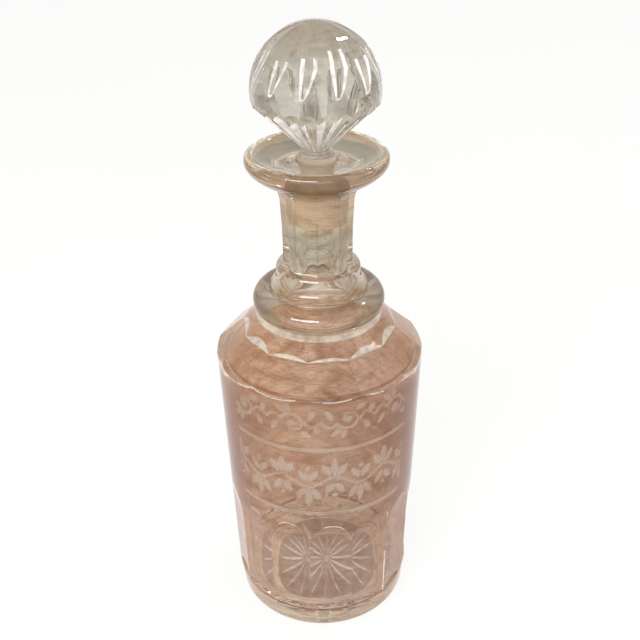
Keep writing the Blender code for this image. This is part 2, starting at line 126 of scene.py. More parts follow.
def join_rims(shape, low, high):
    """Fill the narrow ring between the two open rims that lie between two heights in millimetres."""
    rims = [edge for edge in shape.edges if edge.is_boundary and low * MM < edge.verts[0].co.z < high * MM]
    bmesh.ops.triangle_fill(shape, edges=rims, use_beauty=True, normal=(0, 0, 1))


# %% [markdown]
# ## The bottle's outline
#
# One continuous wall of glass runs from the mouth over the lip, down the neck
# and body and under the base, and back up inside. The ring is melted to the
# neck on the real bottle, so here it is part of the same wall. An air gap
# under it would shine like a mirror.

# %% The bottle's sizes, in millimetres
FOOT_RADIUS, HEEL_RADIUS, HEEL_TOP = 47.0, 48.3, 14.5
BODY_FOOT, BODY_HEAD, SHOULDER = 48.7, 52.8, 156.0
WALL, FLOOR, FLOOR_CORNER = 4.2, 12.0, 9.0
BEND_RADIUS, CONE, COVE, SHELF = 6.0, (39.7, 169.5), (31.7, 176.8), (28.9, 178.6)
RING_CENTRE, RING_ROUND = (26.4, 185.2), 6.6
ROOT, COLLAR, COLLAR_FOOT, COLLAR_HEAD = (24.0, 193.5), 20.8, 199.5, 204.2
NECK, NECK_HEAD = 18.3, 238.0
LIP, LIP_TOP, LIP_ROUND = 33.9, 261.3, 3.0
MOUTH, MOUTH_HEIGHT, MOUTH_ROUND = 9.6, 257.6, 1.2
BORE, SEAT_FOOT, THROAT = 8.8, 226.6, 206.0
KICK = 1.0


def body_radius(height):
    """Radius of the uncut body at a height."""
    return between(BODY_FOOT, BODY_HEAD, (height - HEEL_TOP) / (SHOULDER - HEEL_TOP))


CONE_SLOPE = math.atan2(CONE[1] - SHOULDER - 0.5 * BEND_RADIUS, BODY_HEAD - 0.5 * BEND_RADIUS - CONE[0])


def shoulder_outline():
    """Up the bend and the cone to the cove under the ring."""
    points = [(BODY_FOOT, HEEL_TOP), (BODY_HEAD, SHOULDER)]
    points += arc((BODY_HEAD - BEND_RADIUS, SHOULDER), BEND_RADIUS, 0, 90 - math.degrees(CONE_SLOPE), 24)[1:]
    points += bend(CONE, (35.7, 173.0), COVE, 16)
    return points


def neck_outline():
    """Up from the ring's root over the collar and neck to the roll of the lip."""
    points = bend(ROOT, (COLLAR, 195.3), (COLLAR, COLLAR_FOOT), 12)
    points += arc((COLLAR - 1.6, COLLAR_HEAD - 1.6), 1.6, 0, 75, 10)
    points += [(NECK, COLLAR_HEAD + 3.2), (NECK, NECK_HEAD)]
    points += bend((NECK, NECK_HEAD), (NECK, 244.4), (26.1, 249.1), 24)[1:]
    points += bend((26.1, 249.1), (LIP, 253.8), (LIP, 257.3), 24)[1:]
    return points


def as_curve(points):
    """Heights and radii of an outline that only climbs, ready to be read at any height."""
    return np.array([p[1] for p in points]), np.array([p[0] for p in points])


SHOULDER_Z, SHOULDER_R = as_curve(shoulder_outline())
NECK_Z, NECK_R = as_curve(neck_outline())
print("Outline points:", len(SHOULDER_Z), "for body and shoulder,", len(NECK_Z), "for the neck")

# %% [markdown]
# ## The wheel's cuts
#
# A cutter holds the bottle against a flat wheel, turns it a step and cuts
# again. Ten cuts make the neck's panels, twelve slice the shoulder and
# fourteen stand round the base. A cut is given by its distance from the axis
# at each height; to either side of its middle it reaches further out by one
# over the cosine. 420 columns divide evenly by ten, twelve and fourteen.

# %% Cut families
BODY_COLUMNS, NECK_COLUMNS = 420, 210
FRONT = -0.5 * math.pi
FLUTES, SLICES, PANELS = 14, 12, 10
FLUTES_FROM, SLICES_FROM, PANELS_FROM = -7.6, -8.5, -1.8
SLICE_FOOT = np.array([(BODY_HEAD - 0.2) * math.cos(math.pi / SLICES), SHOULDER + 1.8])
SLICE_HEAD = np.array([CONE[0] * math.cos(math.pi / SLICES), CONE[1] - 0.2])
SLICE_STOP = CONE[0] - 1.8
# How high each slice's painted pale crescent rises above its step
PAINTED_CRESCENT_RISE = np.array([0.3, 1.6, 2.2, 1.6, 1.0, 1.4, 0.8, 1.4, 1.8, 2.2, 2.0, 0.7])
FLUTE_DEPTH, FLUTE_TOP, FLUTE_WHEEL = 1.35, 77.0, 100.0
RUN_OUT = math.sqrt(2 * FLUTE_WHEEL * FLUTE_DEPTH)
SCOOP_CENTRE, SCOOP_ROUND = (26.6, 239.6), 9.0
PANEL_MIDDLE, PANEL_FOOT, PANEL_FOOT_ROUND = 16.8, 203.7, 3.0


def cut_family(sides, turn, columns):
    """For each column its angle from the middle of its cut, and the twist that lines the columns up."""
    step = 360 / columns
    shift = round(turn / step)
    per_side = columns // sides
    off = ((np.arange(columns) % per_side) / per_side - 0.5) * math.tau / sides
    return np.roll(off, shift), math.radians(turn - step * shift)


off_flute, flute_turn = cut_family(FLUTES, FLUTES_FROM, BODY_COLUMNS)
off_slice, slice_turn = cut_family(SLICES, SLICES_FROM, BODY_COLUMNS)
off_panel, panel_turn = cut_family(PANELS, PANELS_FROM, NECK_COLUMNS)


def slice_distance(height):
    """Distance from the axis of the middle of a shoulder slice."""
    share = (height - SLICE_FOOT[1]) / (SLICE_HEAD[1] - SLICE_FOOT[1])
    return between(SLICE_FOOT[0], SLICE_HEAD[0], share)


def stop_distance(_height):
    """Distance from the axis of the upright step at the slices' tops, the same at every height."""
    return SLICE_STOP


def flute_distance(height):
    """Distance from the axis of the middle of a basal flute."""
    along = np.maximum(height - (FLUTE_TOP - RUN_OUT), 0.0)
    return body_radius(height) - FLUTE_DEPTH + along ** 2 / (2 * FLUTE_WHEEL)


def panel_distance(height):
    """Distance from the axis of the middle of a neck panel."""
    foot_drop = np.clip(PANEL_FOOT + PANEL_FOOT_ROUND - height, 0.0, PANEL_FOOT_ROUND)
    foot = PANEL_FOOT_ROUND - np.sqrt(PANEL_FOOT_ROUND ** 2 - foot_drop ** 2)
    rise = np.clip(height - SCOOP_CENTRE[1], 0.0, SCOOP_ROUND)
    head = SCOOP_ROUND - np.sqrt(SCOOP_ROUND ** 2 - rise ** 2)
    middle_height = between(PANEL_FOOT, SCOOP_CENTRE[1], 0.6)
    lean = np.clip((height - middle_height) / (SCOOP_CENTRE[1] - middle_height), 0.0, 1.0)
    return PANEL_MIDDLE + foot + head + lean * (SCOOP_CENTRE[0] - SCOOP_ROUND - PANEL_MIDDLE)


def halved(low, high, still_low):
    """For each column, the height between low and high where still_low stops being true."""
    for _ in range(40):
        middle = 0.5 * (low + high)
        still = still_low(middle)
        low, high = np.where(still, middle, low), np.where(still, high, middle)
    return 0.5 * (low + high)


def crossing(low, high, outline, distance, off):
    """For each column, the height where the cut leaves the glass between two heights."""
    def inside(height):
        return distance(height) / np.cos(off) < np.interp(height, *outline)

    start = np.full(len(off), float(low))
    first = inside(start)
    return halved(start, np.full(len(off), float(high)), lambda height: inside(height) == first)


# %% [markdown]
# ## Rows that follow the cuts
#
# Each row of the grid has its own height in every column. Between two edges
# of a cut the rows share the space evenly, so an arch is a row of its own and
# stays crisp.

# %% Build the rows of the outer wall
class Rows:
    """Rows of points up a wall: a radius and height for each column, and a twist."""

    def __init__(self, columns):
        self.columns = columns
        self.radius, self.height, self.turn = [], [], []

    def climb(self, low, high, count, outline, distance=None, off=None, turn=0.0, first=1):
        """Rows between two heights (numbers, or one per column), cut where a cut reaches in."""
        for i in range(first, count + 1):
            height = between(low, high, i / count) + np.zeros(self.columns)
            radius = np.interp(height, *outline)
            if distance is not None:
                radius = np.minimum(radius, distance(height) / np.cos(off))
            self.radius.append(radius)
            self.height.append(height)
            self.turn.append(turn)

    def round(self, points, turn=0.0):
        """Rows that are the same all the way round."""
        for radius, height in points:
            self.radius.append(np.full(self.columns, radius))
            self.height.append(np.full(self.columns, height))
            self.turn.append(turn)

    def arrays(self):
        """Radius, angle and height of every point, with the first column again at the end."""
        azimuth = FRONT + np.arange(self.columns + 1) * math.tau / self.columns
        angle = azimuth[None, :] + np.array(self.turn)[:, None]
        return around(np.array(self.radius)), angle, around(np.array(self.height))


body = (SHOULDER_Z, SHOULDER_R)
neck = (NECK_Z, NECK_R)
fluted = (body, flute_distance, off_flute, flute_turn)
sliced = (body, slice_distance, off_slice, slice_turn)
panelled = (neck, panel_distance, off_panel, panel_turn)
straight_top = FLUTE_TOP - RUN_OUT
flute_arch = crossing(straight_top, FLUTE_TOP + 1.0, *fluted[:3])
scallop = crossing(SHOULDER - 2.0, 163.0, *sliced[:3])
stop_height = SLICE_FOOT[1] + (SLICE_HEAD[1] - SLICE_FOOT[1]) * (SLICE_FOOT[0] - SLICE_STOP) / (
    SLICE_FOOT[0] - SLICE_HEAD[0])
slice_stop = crossing(stop_height, COVE[1], body, stop_distance, off_slice)
slice_number = (np.arange(BODY_COLUMNS) - round(SLICES_FROM / 360 * BODY_COLUMNS)) // (BODY_COLUMNS // SLICES) % SLICES
pale_top = slice_stop + 0.03 + PAINTED_CRESCENT_RISE[slice_number] * (1 - (off_slice / math.radians(180 / SLICES)) ** 2)
panel_head = crossing(241.0, 248.5, *panelled[:3])
BAND_FOOT, BAND_HEAD = 86.5, 155.2

wall = Rows(BODY_COLUMNS)
wall.round([(35.0, KICK), (36.0, 0.0), (40.0, 0.0)], flute_turn)
wall.round(arc((44.5, 2.5), 2.5, -90, 0, 6), flute_turn)
wall.round([(47.5, 7.5), (48.1, 12.9), (HEEL_RADIUS, HEEL_TOP - 0.06)], flute_turn)
wall.climb(HEEL_TOP, straight_top, 6, *fluted, first=0)
wall.climb(straight_top, flute_arch - 0.6, 6, *fluted)
arch_row = len(wall.turn) - 1
wall.climb(flute_arch - 0.6, flute_arch, 1, *fluted)
engraved_first = len(wall.turn)
wall.climb(flute_arch, BAND_FOOT, 16, body, turn=flute_turn)
wall.climb(BAND_FOOT, BAND_HEAD, 66, body, turn=slice_turn)
engraved_last = len(wall.turn)
wall.climb(BAND_HEAD, scallop, 6, body, turn=slice_turn)
scallop_row = len(wall.turn) - 1
wall.climb(scallop, scallop + 0.35, 1, *sliced)
wall.climb(scallop + 0.35, stop_height, 10, *sliced)
pale_first = len(wall.turn) - 1
wall.climb(stop_height, slice_stop, 2, body, stop_distance, off_slice, slice_turn)
wall.climb(slice_stop, pale_top, 2, body, turn=slice_turn)
pale_last = len(wall.turn)
wall.climb(pale_top, COVE[1], 6, body, turn=slice_turn)

upper = Rows(NECK_COLUMNS)
upper.round([SHELF])
upper.round(arc(RING_CENTRE, RING_ROUND, -64, 109, 26))
upper.round([(24.05, 192.3)])
upper.climb(ROOT[1], PANEL_FOOT, 13, neck, turn=panel_turn, first=0)
upper.climb(PANEL_FOOT + 0.02, PANEL_FOOT + PANEL_FOOT_ROUND, 6, *panelled, first=0)
upper.climb(PANEL_FOOT + PANEL_FOOT_ROUND, SCOOP_CENTRE[1], 5, *panelled)
upper.climb(SCOOP_CENTRE[1], panel_head, 9, *panelled)
upper.climb(panel_head, 257.3, 18, neck, turn=panel_turn)
upper.round(arc((LIP - LIP_ROUND, LIP_TOP - LIP_ROUND), LIP_ROUND, 3, 85, 10))
upper.round(bend((LIP - LIP_ROUND - 0.4, LIP_TOP - 0.05), (27.8, MOUTH_HEIGHT),
                 (MOUTH + MOUTH_ROUND, MOUTH_HEIGHT), 14))
upper.round(arc((MOUTH + MOUTH_ROUND, MOUTH_HEIGHT - MOUTH_ROUND), MOUTH_ROUND, 100, 165, 5))
print("Body wall:", len(wall.turn), "rows of", BODY_COLUMNS, "and neck:", len(upper.turn), "rows of", NECK_COLUMNS)

# %% [markdown]
# ## Engraving
#
# Over the flutes the body carries shallow wheel engraving, left matt. A
# frieze of leafy scrolls runs under the shoulder, two plain lines frame a
# band below it, and the band holds a garland of paired leaves. Each mark is a
# soft-edged shape, drawn as a distance in the unrolled wall. The value drives
# both a real hollow in the glass and the matt finish.

# %% Distances to leaves, rings and lines
def leaf(u, v, centre, angle, length, width):
    """1 inside a pointed leaf, 0 outside, in millimetres on the unrolled wall."""
    c, s = math.cos(math.radians(angle)), math.sin(math.radians(angle))
    along = (u - centre[0]) * c + (v - centre[1]) * s
    across = -(u - centre[0]) * s + (v - centre[1]) * c
    half = 0.5 * width * np.clip(1 - (2 * along / length) ** 2, 0.0, 1.0)
    edge = np.where(np.abs(along) < 0.5 * length, half - np.abs(across), -1.0)
    return np.clip(edge / 0.5 + 0.5, 0.0, 1.0)


def disc(u, v, centre, radius):
    """1 inside a round dot."""
    return np.clip((radius - np.hypot(u - centre[0], v - centre[1])) / 0.5 + 0.5, 0.0, 1.0)


def stroke(u, v, points, width):
    """1 along a drawn line that thins towards its end."""
    best = np.full(u.shape, -1.0)
    for i, (here, there) in enumerate(zip(points, points[1:])):
        a, b = np.array(here), np.array(there)
        run = b - a
        share = np.clip(((u - a[0]) * run[0] + (v - a[1]) * run[1]) / (run @ run), 0.0, 1.0)
        gap = np.hypot(u - a[0] - share * run[0], v - a[1] - share * run[1])
        thin = 1 - 0.5 * (i + share) / len(points)
        best = np.maximum(best, 0.5 * width * thin - gap)
    return np.clip(best / 0.5 + 0.5, 0.0, 1.0)


def scroll(centre, radius, start, turns, steps=28):
    """Points of a spiral that winds in to its centre."""
    points = []
    for i in range(steps + 1):
        share = i / steps
        angle = math.radians(start + 360 * turns * share)
        reach = radius * (1 - 0.8 * share)
        points.append((centre[0] + reach * math.cos(angle), centre[1] + reach * math.sin(angle)))
    return points


# %% Draw the frieze, the lines and the garland
FRIEZE_REPEATS, FRIEZE_REACH = 12, 55.0
GARLAND_REPEATS = 24
ENGRAVING_DEPTH = 0.15
wall_round = 2 * math.pi * 51.8


def engraving(angle, height):
    """Depth of the engraving, 0 to 1, over the unrolled wall."""
    u = angle / math.tau * wall_round
    pitch = wall_round / FRIEZE_REPEATS
    index = np.floor(u / pitch)
    flip = np.where(index % 2 == 0, 1.0, -1.0)
    across = (u - (index + 0.5) * pitch)
    v = (height - 144.8) * flip
    marks = stroke(across, v, scroll((0.0, 1.2), 6.4, 200, 1.15), 1.5)
    marks = np.maximum(marks, disc(across, v, (0.0, 1.2), 1.5))
    marks = np.maximum(marks, stroke(across, v, bend((-13.5, 0.0), (-9.5, -5.5), (-6.0, -1.0), 8), 1.4))
    marks = np.maximum(marks, stroke(across, v, bend((6.0, 0.5), (8.5, 5.5), (13.5, 0.0), 8), 1.4))
    for centre, turn, length in (((-9.6, 4.2), 120, 6.5), ((-6.0, -6.6), 215, 6.5), ((9.4, -4.4), 300, 6.5),
                                 ((6.2, 7.4), 30, 6.0), ((-2.4, -7.6), 260, 5.0), ((11.6, 4.6), 70, 5.0)):
        marks = np.maximum(marks, leaf(across, v, centre, turn, length, 2.9))
    for line_height in (128.4, 126.9, 86.8, 85.3):
        marks = np.maximum(marks, np.clip((0.45 - np.abs(height - line_height)) / 0.5 + 0.5, 0.0, 1.0))
    pitch = wall_round / GARLAND_REPEATS
    index = np.floor(u / pitch)
    across = u - (index + 0.5) * pitch
    flip = np.where(index % 2 == 0, 1.0, -1.0)
    stem_height = 106.9 + flip * 3.2 * np.cos(math.pi * across / pitch)
    marks = np.maximum(marks, np.clip((0.5 - np.abs(height - stem_height)) / 0.5 + 0.5, 0.0, 1.0))
    v = (height - 106.9) * flip
    for centre, turn, length in (((0.0, 9.6), 90, 11.5), ((-3.9, 7.6), 122, 8.5), ((3.9, 7.6), 58, 8.5),
                                 ((-2.6, -4.0), 235, 8.0), ((2.6, -4.0), 305, 8.0)):
        marks = np.maximum(marks, leaf(across, v, centre, turn, length, 3.4))
    marks = np.maximum(marks, disc(across, v, (0.0, -8.6), 1.2))
    from_front = np.degrees(np.minimum(angle, math.tau - angle))
    return marks * np.clip((FRIEZE_REACH - from_front) / 5.0, 0.0, 1.0)


# %% [markdown]
# ## The star under the base
#
# Sixteen mitre cuts meet under the middle of the floor. Each is a groove with
# flat sides that runs in deep and lifts out again. In this grid ten columns
# belong to a ray on each side of its bottom line, and they close in on it, so
# that the groove's edges and its bottom are clean lines.

# %% Place the star's points
RAYS = 16
STAR_COLUMNS = RAYS * 20
STAR_INNER, STAR_OUTER, RAY_DEPTH = 1.3, 33.5, 1.7


def star_grid(shape):
    """The hollow underside with its rays, from the rim to the middle."""
    reach = np.concatenate([[34.7, 34.1], np.linspace(33.5, 1.0, 18), [0.0]])
    middle = 0.5 * (STAR_INNER + STAR_OUTER)
    half_length = 0.5 * (STAR_OUTER - STAR_INNER)
    depth = RAY_DEPTH * np.clip(1 - ((reach - middle) / half_length) ** 2, 0.0, 1.0)
    half_sector = math.pi / RAYS
    edge = np.arcsin(np.clip(np.maximum(depth, 0.02) / np.maximum(reach, 0.5), 0.0, 0.9))
    edge = np.clip(edge, 0.02, half_sector * 0.999)
    column = np.arange(STAR_COLUMNS)
    place = (column + 10) % 20 - 10
    part = np.abs(place) / 10
    in_groove = np.clip(part / 0.6, 0.0, 1.0)[None, :] * edge[:, None]
    beyond = np.clip((part - 0.6) / 0.4, 0.0, 1.0)[None, :] * (half_sector - edge)[:, None]
    off = np.sign(place)[None, :] * (in_groove + beyond)
    sector = ((column + 10) // 20) * math.tau / RAYS
    across = reach[:, None] * np.abs(np.sin(off))
    sink = depth[:, None] * np.clip(1 - across / np.maximum(depth, 1e-6)[:, None], 0.0, 1.0)
    hub = 0.6 * RAY_DEPTH * np.clip(1 - (reach / 2.6) ** 2, 0.0, 1.0)[:, None]
    grid = open_tube(shape, len(reach), STAR_COLUMNS)
    place_grid(grid, reach[:, None], FRONT + around(sector[None, :] + off), around(KICK + np.maximum(sink, hub)))


# %% [markdown]
# ## The inside
#
# The inside was never cut, so it is round: a floor with a wide corner, a
# plain wall, a smooth funnel, a throat and the ground taper of the mouth. It
# needs fewer columns than the cut outside.

# %% Outline of the cavity, from the mouth down
INSIDE_COLUMNS = 96


def cavity_outline():
    """Down the ground seat, the throat, the funnel and the wall to the floor."""
    points = spaced([(MOUTH - 0.09, MOUTH_HEIGHT - MOUTH_ROUND), (BORE, SEAT_FOOT)], 2.0)
    points += spaced([(BORE, SEAT_FOOT), (BORE, THROAT)], 3.0)[1:]
    cone_top = (CONE[0] - WALL * math.sin(CONE_SLOPE), CONE[1] - WALL * math.cos(CONE_SLOPE))
    points += bend((BORE, THROAT), (12.0, SHELF[1] + 1.8), cone_top, 26)[1:]
    inner = 3.0
    centre = (body_radius(153.9) - WALL - inner, 153.9)
    points += arc(centre, inner, 90 - math.degrees(CONE_SLOPE), 0, 10)
    low = FLOOR + FLOOR_CORNER
    points += spaced([points[-1], (body_radius(low) - WALL, low)], 6.0)[1:]
    points += arc((body_radius(low) - WALL - FLOOR_CORNER, low), FLOOR_CORNER, 0, -90, 14)[1:]
    points += spaced([points[-1], (1.0, FLOOR)], 5.0)[1:]
    return points + [(0.0, FLOOR)]


# %% Join the outside, the star and the inside
def object_from(name, shape, materials):
    """An object made from a bmesh and put into the scene."""
    mesh = bpy.data.meshes.new(name)
    shape.to_mesh(mesh)
    shape.free()
    for material in materials:
        mesh.materials.append(material)
    made = bpy.data.objects.new(name, mesh)
    bpy.context.scene.collection.objects.link(made)
    return made


def finish_piece(name, shape, materials, body_name, sharp_angle):
    """A piece that rides on its body, with crisp cut edges and the rest smooth."""
    piece = object_from(name, shape, materials)
    mesh = piece.data
    mesh.shade_smooth()
    mesh.set_sharp_from_angle(angle=math.radians(sharp_angle))
    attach(piece, body_name)
    print(name, "has", sum(len(p.vertices) - 2 for p in mesh.polygons), "triangles")
    return piece


CLEAR, SEAT, INNER, LIP_SHADE_BAND, PAINTED_STEP, RAY, LIP_UNDER_SHADE, HEEL_SHADE_LINE, RING, UNDERSIDE_SHADE, DISH, PAINTED_RIDGE = range(12)
RIM_HEIGHT, RIM_FRONT = 260.2, -21.0
DISH_FOOT, DISH_RADIUS = 257.4, 31.6
LIP_FOOT, LIP_NARROW, LIP_WIDE = 246.0, 20.5, 31.2
UNDERSIDE_TOP, RAY_HALF_WIDTH = 3.5, 1.4
RIDGE_TOP, RING_INSIDE = 74.0, 24.0
PANEL_LINE_FOOT, PANEL_LINE_HEAD, PANEL_LINE_DEGREES = 207.0, 236.0, 1.4
SIDE_FROM, SIDE_WIDENS = 62.0, 3.5


def finish_of(middle):
    """Index of the finish that a face of the bottle gets, from its middle in millimetres."""
    radius, z = math.hypot(middle.x, middle.y), middle.z
    angle = math.degrees(math.atan2(middle.y, middle.x)) + 90.0
    if SEAT_FOOT < z < MOUTH_HEIGHT and radius < MOUTH + 0.2:
        return SEAT
    if radius < inner_limit(z):
        return INNER
    # At the front the top of the lip's roll keeps the band's painted shade; elsewhere it takes the dish's finish
    if z > RIM_HEIGHT and middle.y > RIM_FRONT or z > DISH_FOOT and radius < DISH_RADIUS:
        return DISH
    # Painted shade: dark brown over the lip's outer band, near black under the lip
    if z > LIP_FOOT and radius > LIP_NARROW:
        return LIP_SHADE_BAND if radius > LIP_WIDE else LIP_UNDER_SHADE
    # Painted shade: a thin dark line just under the heel's top
    if HEEL_TOP - 1.5 < z < HEEL_TOP - 0.07:
        return HEEL_SHADE_LINE
    # Painted shade under the base, with the star's rays left bright
    if z < UNDERSIDE_TOP and radius < STAR_OUTER + 1.0:
        on_ray = z > KICK + 0.2 and abs(radius * math.radians(off_middle(angle, RAYS))) < RAY_HALF_WIDTH
        return RAY if on_ray and radius < STAR_OUTER else UNDERSIDE_SHADE
    if HEEL_TOP + 1.0 < z < RIDGE_TOP and on_painted_ridge(angle - FLUTES_FROM, z):
        return PAINTED_RIDGE
    # Painted shade: dark lines beside the neck panels' edges
    past_panel_edge = off_middle(angle - PANELS_FROM, PANELS)
    if PANEL_LINE_FOOT < z < PANEL_LINE_HEAD and 0.0 < past_panel_edge < PANEL_LINE_DEGREES:
        return LIP_SHADE_BAND
    # Painted reflection: a pale band where the cove meets the ring
    if COVE[1] + 0.1 < z < SHELF[1]:
        return PAINTED_STEP
    return RING if SHELF[1] < z < ROOT[1] and radius > RING_INSIDE else CLEAR


def off_middle(angle, count):
    """Degrees from the nearest of a number of evenly spaced marks, the first of them at 0."""
    return (angle + 180.0 / count) % (360.0 / count) - 180.0 / count


def on_painted_ridge(angle, height):
    """True along parts of the ridges between the side flutes, which carry painted highlights."""
    index = round(angle / (360 / FLUTES)) % FLUTES
    at_side = 2 <= index <= FLUTES - 2
    whole = math.sin(height * 0.11 + index * 2.3) > -0.2
    return at_side and whole and -0.9 < off_middle(angle, FLUTES) < (0.0, 0.9, 0.0)[index % 3]


def inner_limit(z):
    """A radius between the inner and the outer wall at a height."""
    if z < FLOOR - 4.0:
        return 0.0
    if z < SHOULDER - 2.0:
        return body_radius(z) - 0.6 * WALL
    if z < CONE[1]:
        return between(48.0, 38.0, (z - SHOULDER + 2.0) / (CONE[1] - SHOULDER + 2.0)) - 1.0
    if z < COLLAR_FOOT:
        return between(33.0, 15.0, min(1.0, (z - CONE[1]) / 12.0))
    return 13.0 if z < MOUTH_HEIGHT - MOUTH_ROUND else 0.0


def make_bottle(finishes):
    """The bottle and its ring in one wall of glass."""
    shape = bmesh.new()
    mark_layer = shape.verts.layers.float.new("engraved")
    painted_light_layer = shape.verts.layers.float.new("painted_light_edge")
    radius, angle, height = wall.arrays()
    marks = np.zeros_like(radius)
    part = slice(engraved_first, engraved_last)
    marks[part] = engraving(np.mod(angle[part] - FRONT, math.tau), height[part])
    grid = open_tube(shape, len(wall.turn), BODY_COLUMNS)
    place_grid(grid, radius - ENGRAVING_DEPTH * marks, angle, height)
    for i in range(engraved_first, engraved_last):
        for j, vert in enumerate(grid[i]):
            vert[mark_layer] = marks[i, j]
    # Painted reflection: pale crescents over the slices' top steps
    for row in grid[pale_first:pale_last]:
        for vert in row:
            vert[painted_light_layer] = PAINTED_STEP
    # Painted light: a rose rim on the shoulder towards its sides
    for i, row in enumerate(grid[engraved_last - 3:scallop_row]):
        for j, vert in enumerate(row):
            from_front = abs((j / BODY_COLUMNS * 360 + 180) % 360 - 180)
            vert[painted_light_layer] = PAINTED_RIDGE * (from_front > SIDE_FROM - SIDE_WIDENS * i)
    # Painted highlights in broken runs along the flutes' arches and the shoulder's scallop line
    for first, finish, limit in ((arch_row, PAINTED_RIDGE, 0.7), (scallop_row, PAINTED_STEP, -0.3)):
        for row in grid[first:first + 2]:
            for j, vert in enumerate(row):
                vert[painted_light_layer] = finish * (math.sin(j * 0.21) + math.sin(j * 0.083 + 1.0) > limit)

    place_grid(open_tube(shape, len(upper.turn), NECK_COLUMNS), *upper.arrays())
    star_grid(shape)
    cavity = np.array(cavity_outline())
    around_inside = FRONT + np.arange(INSIDE_COLUMNS + 1)[None, :] * math.tau / INSIDE_COLUMNS
    place_grid(open_tube(shape, len(cavity), INSIDE_COLUMNS), cavity[:, :1], around_inside, cavity[:, 1:])
    weld(shape)
    join_rims(shape, -1.0, 5.0)
    join_rims(shape, 170.0, 185.0)
    join_rims(shape, 250.0, 260.0)
    bmesh.ops.recalc_face_normals(shape, faces=shape.faces)
    for face in shape.faces:
        pale = int(min(vert[painted_light_layer] for vert in face.verts))
        face.material_index = pale or finish_of(face.calc_center_median() / MM)
    print("Open edges left in the bottle:", sum(len(edge.link_faces) != 2 for edge in shape.edges))
    piece = finish_piece("cut_bottle", shape, finishes, "bottle", 24)
    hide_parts("bottle", "neck_ring")
    return piece


# %% [markdown]
# ## The stopper
#
# The stopper is solid. Twelve broad flutes rise from points at the ball's
# waist and widen until they meet in ridges that run to the pole, and
# twenty-four small ones run down the cone. Each broad flute has a crisp line
# up its middle, where the wheel's edge ran. The columns crowd towards that
# line and towards the flute's borders, and one row follows the arches at the
# top of the cone's flutes. Painted white strips up the flutes, painted glint
# dashes by the ridges and painted strips down the cone stand in for the
# highlights that the cuts catch.

# %% Place the stopper's points
BALL_CENTRE, BALL = 290.3, 29.7
CONE_FOOT, CONE_TOP_Z, CONE_FOOT_Z = 6.0, 284.5, 262.7
BALL_FLUTES, CONE_FLUTES, STOPPER_TURN = 12, 24, 17.0
STOPPER_COLUMNS = 288
BALL_PART, CONE_PART = STOPPER_COLUMNS // BALL_FLUTES, STOPPER_COLUMNS // CONE_FLUTES
PEG, PAINTED_HIGHLIGHT, PAINTED_BEAD = 1, 2, 3
PEG_TOP, BEAD_TOP, FIT_GAP = 260.0, 262.3, 0.3
BALL_WHEEL, CONE_HOLLOW = 30.0, 0.073
FLUTE_CURVE = 0.5 * (1 / BALL_WHEEL + 1 / BALL)
FLUTE_TIP, DEEPENS, FADE_FROM = 5.0, 0.056, 80.0
FLUTE_CREASE = 0.3
LINE_TOPS = np.array([47, 37, 41, 38, 43, 36, 40, 44, 38, 42, 37, 41])
IN_FLUTE = np.array([0, 0.07, 0.15, 0.3, 0.45, 0.6, 0.74, 0.87, 1, 1, 1, 1, 1])
PAST_FLUTE = np.array([0, 0, 0, 0, 0, 0, 0, 0, 0, 0.08, 0.3, 0.65, 1])
CONE_RATE = (math.sqrt(BALL ** 2 - (BALL_CENTRE - CONE_TOP_Z) ** 2) - CONE_FOOT) / (CONE_TOP_Z - CONE_FOOT_Z)


def flute_width(latitude):
    """Half width of a ball flute in millimetres at a latitude in degrees."""
    neighbour = BALL * math.cos(math.radians(latitude)) * math.sin(math.pi / BALL_FLUTES)
    return min(math.sqrt(DEEPENS * max(latitude - FLUTE_TIP, 0.0) / FLUTE_CURVE), neighbour)


def painted_flute_highlights(part, flute, latitude, width):
    """1 on the painted highlight strips up a flute's middle and along one border, and on painted glint dashes by the
    ridges, 0 elsewhere.
    """
    top = LINE_TOPS[flute % BALL_FLUTES]
    strips = (np.abs(part) <= 2) | ((part >= 6) & (part <= 8)) | ((width < 2.4) & (part >= 0) & (part <= 8))
    # Painted glint dashes near the ridges between the ball's flutes
    painted_glints = (np.abs(part) >= 11) & (latitude > 30) & (latitude < 66) & (np.sin(latitude * 0.6 + flute * 2.4) > 0.4)
    return strips & (latitude < top) & (width > 0.3) | painted_glints


def cone_radius(height, share):
    """Radius down the fluted cone; share is 0 in a flute's middle and 1 on its ridge."""
    return (CONE_FOOT + CONE_RATE * (height - CONE_FOOT_Z)) * (1 - CONE_HOLLOW * (1 - share ** 2))


def peg_outline():
    """Down from the cone's foot over the stem and bead to the foot of the ground peg."""
    seat = (MOUTH - FIT_GAP, MOUTH_HEIGHT + 0.6)
    foot_height = SEAT_FOOT + 1.5
    foot = between(BORE, MOUTH, (foot_height - SEAT_FOOT) / (MOUTH_HEIGHT - SEAT_FOOT)) - FIT_GAP
    points = bend((6.0, CONE_FOOT_Z), (5.9, 262.1), (6.2, 261.8), 4)[1:]
    points += bend((6.8, 261.6), (8.2, 261.6), (8.2, 260.6), 8)
    points += bend((8.2, 259.8), (8.25, 259.2), (8.6, 258.9), 5) + [seat]
    points += spaced([(seat[0], seat[1] - 0.05), (foot, foot_height + 1.2)], 2.0)
    points += arc((foot - 1.2, foot_height + 1.2), 1.2, 0, -90, 8)[1:]
    return points + spaced([(foot - 1.2, foot_height), (0.6, foot_height)], 2.0)[1:] + [(0.0, foot_height)]


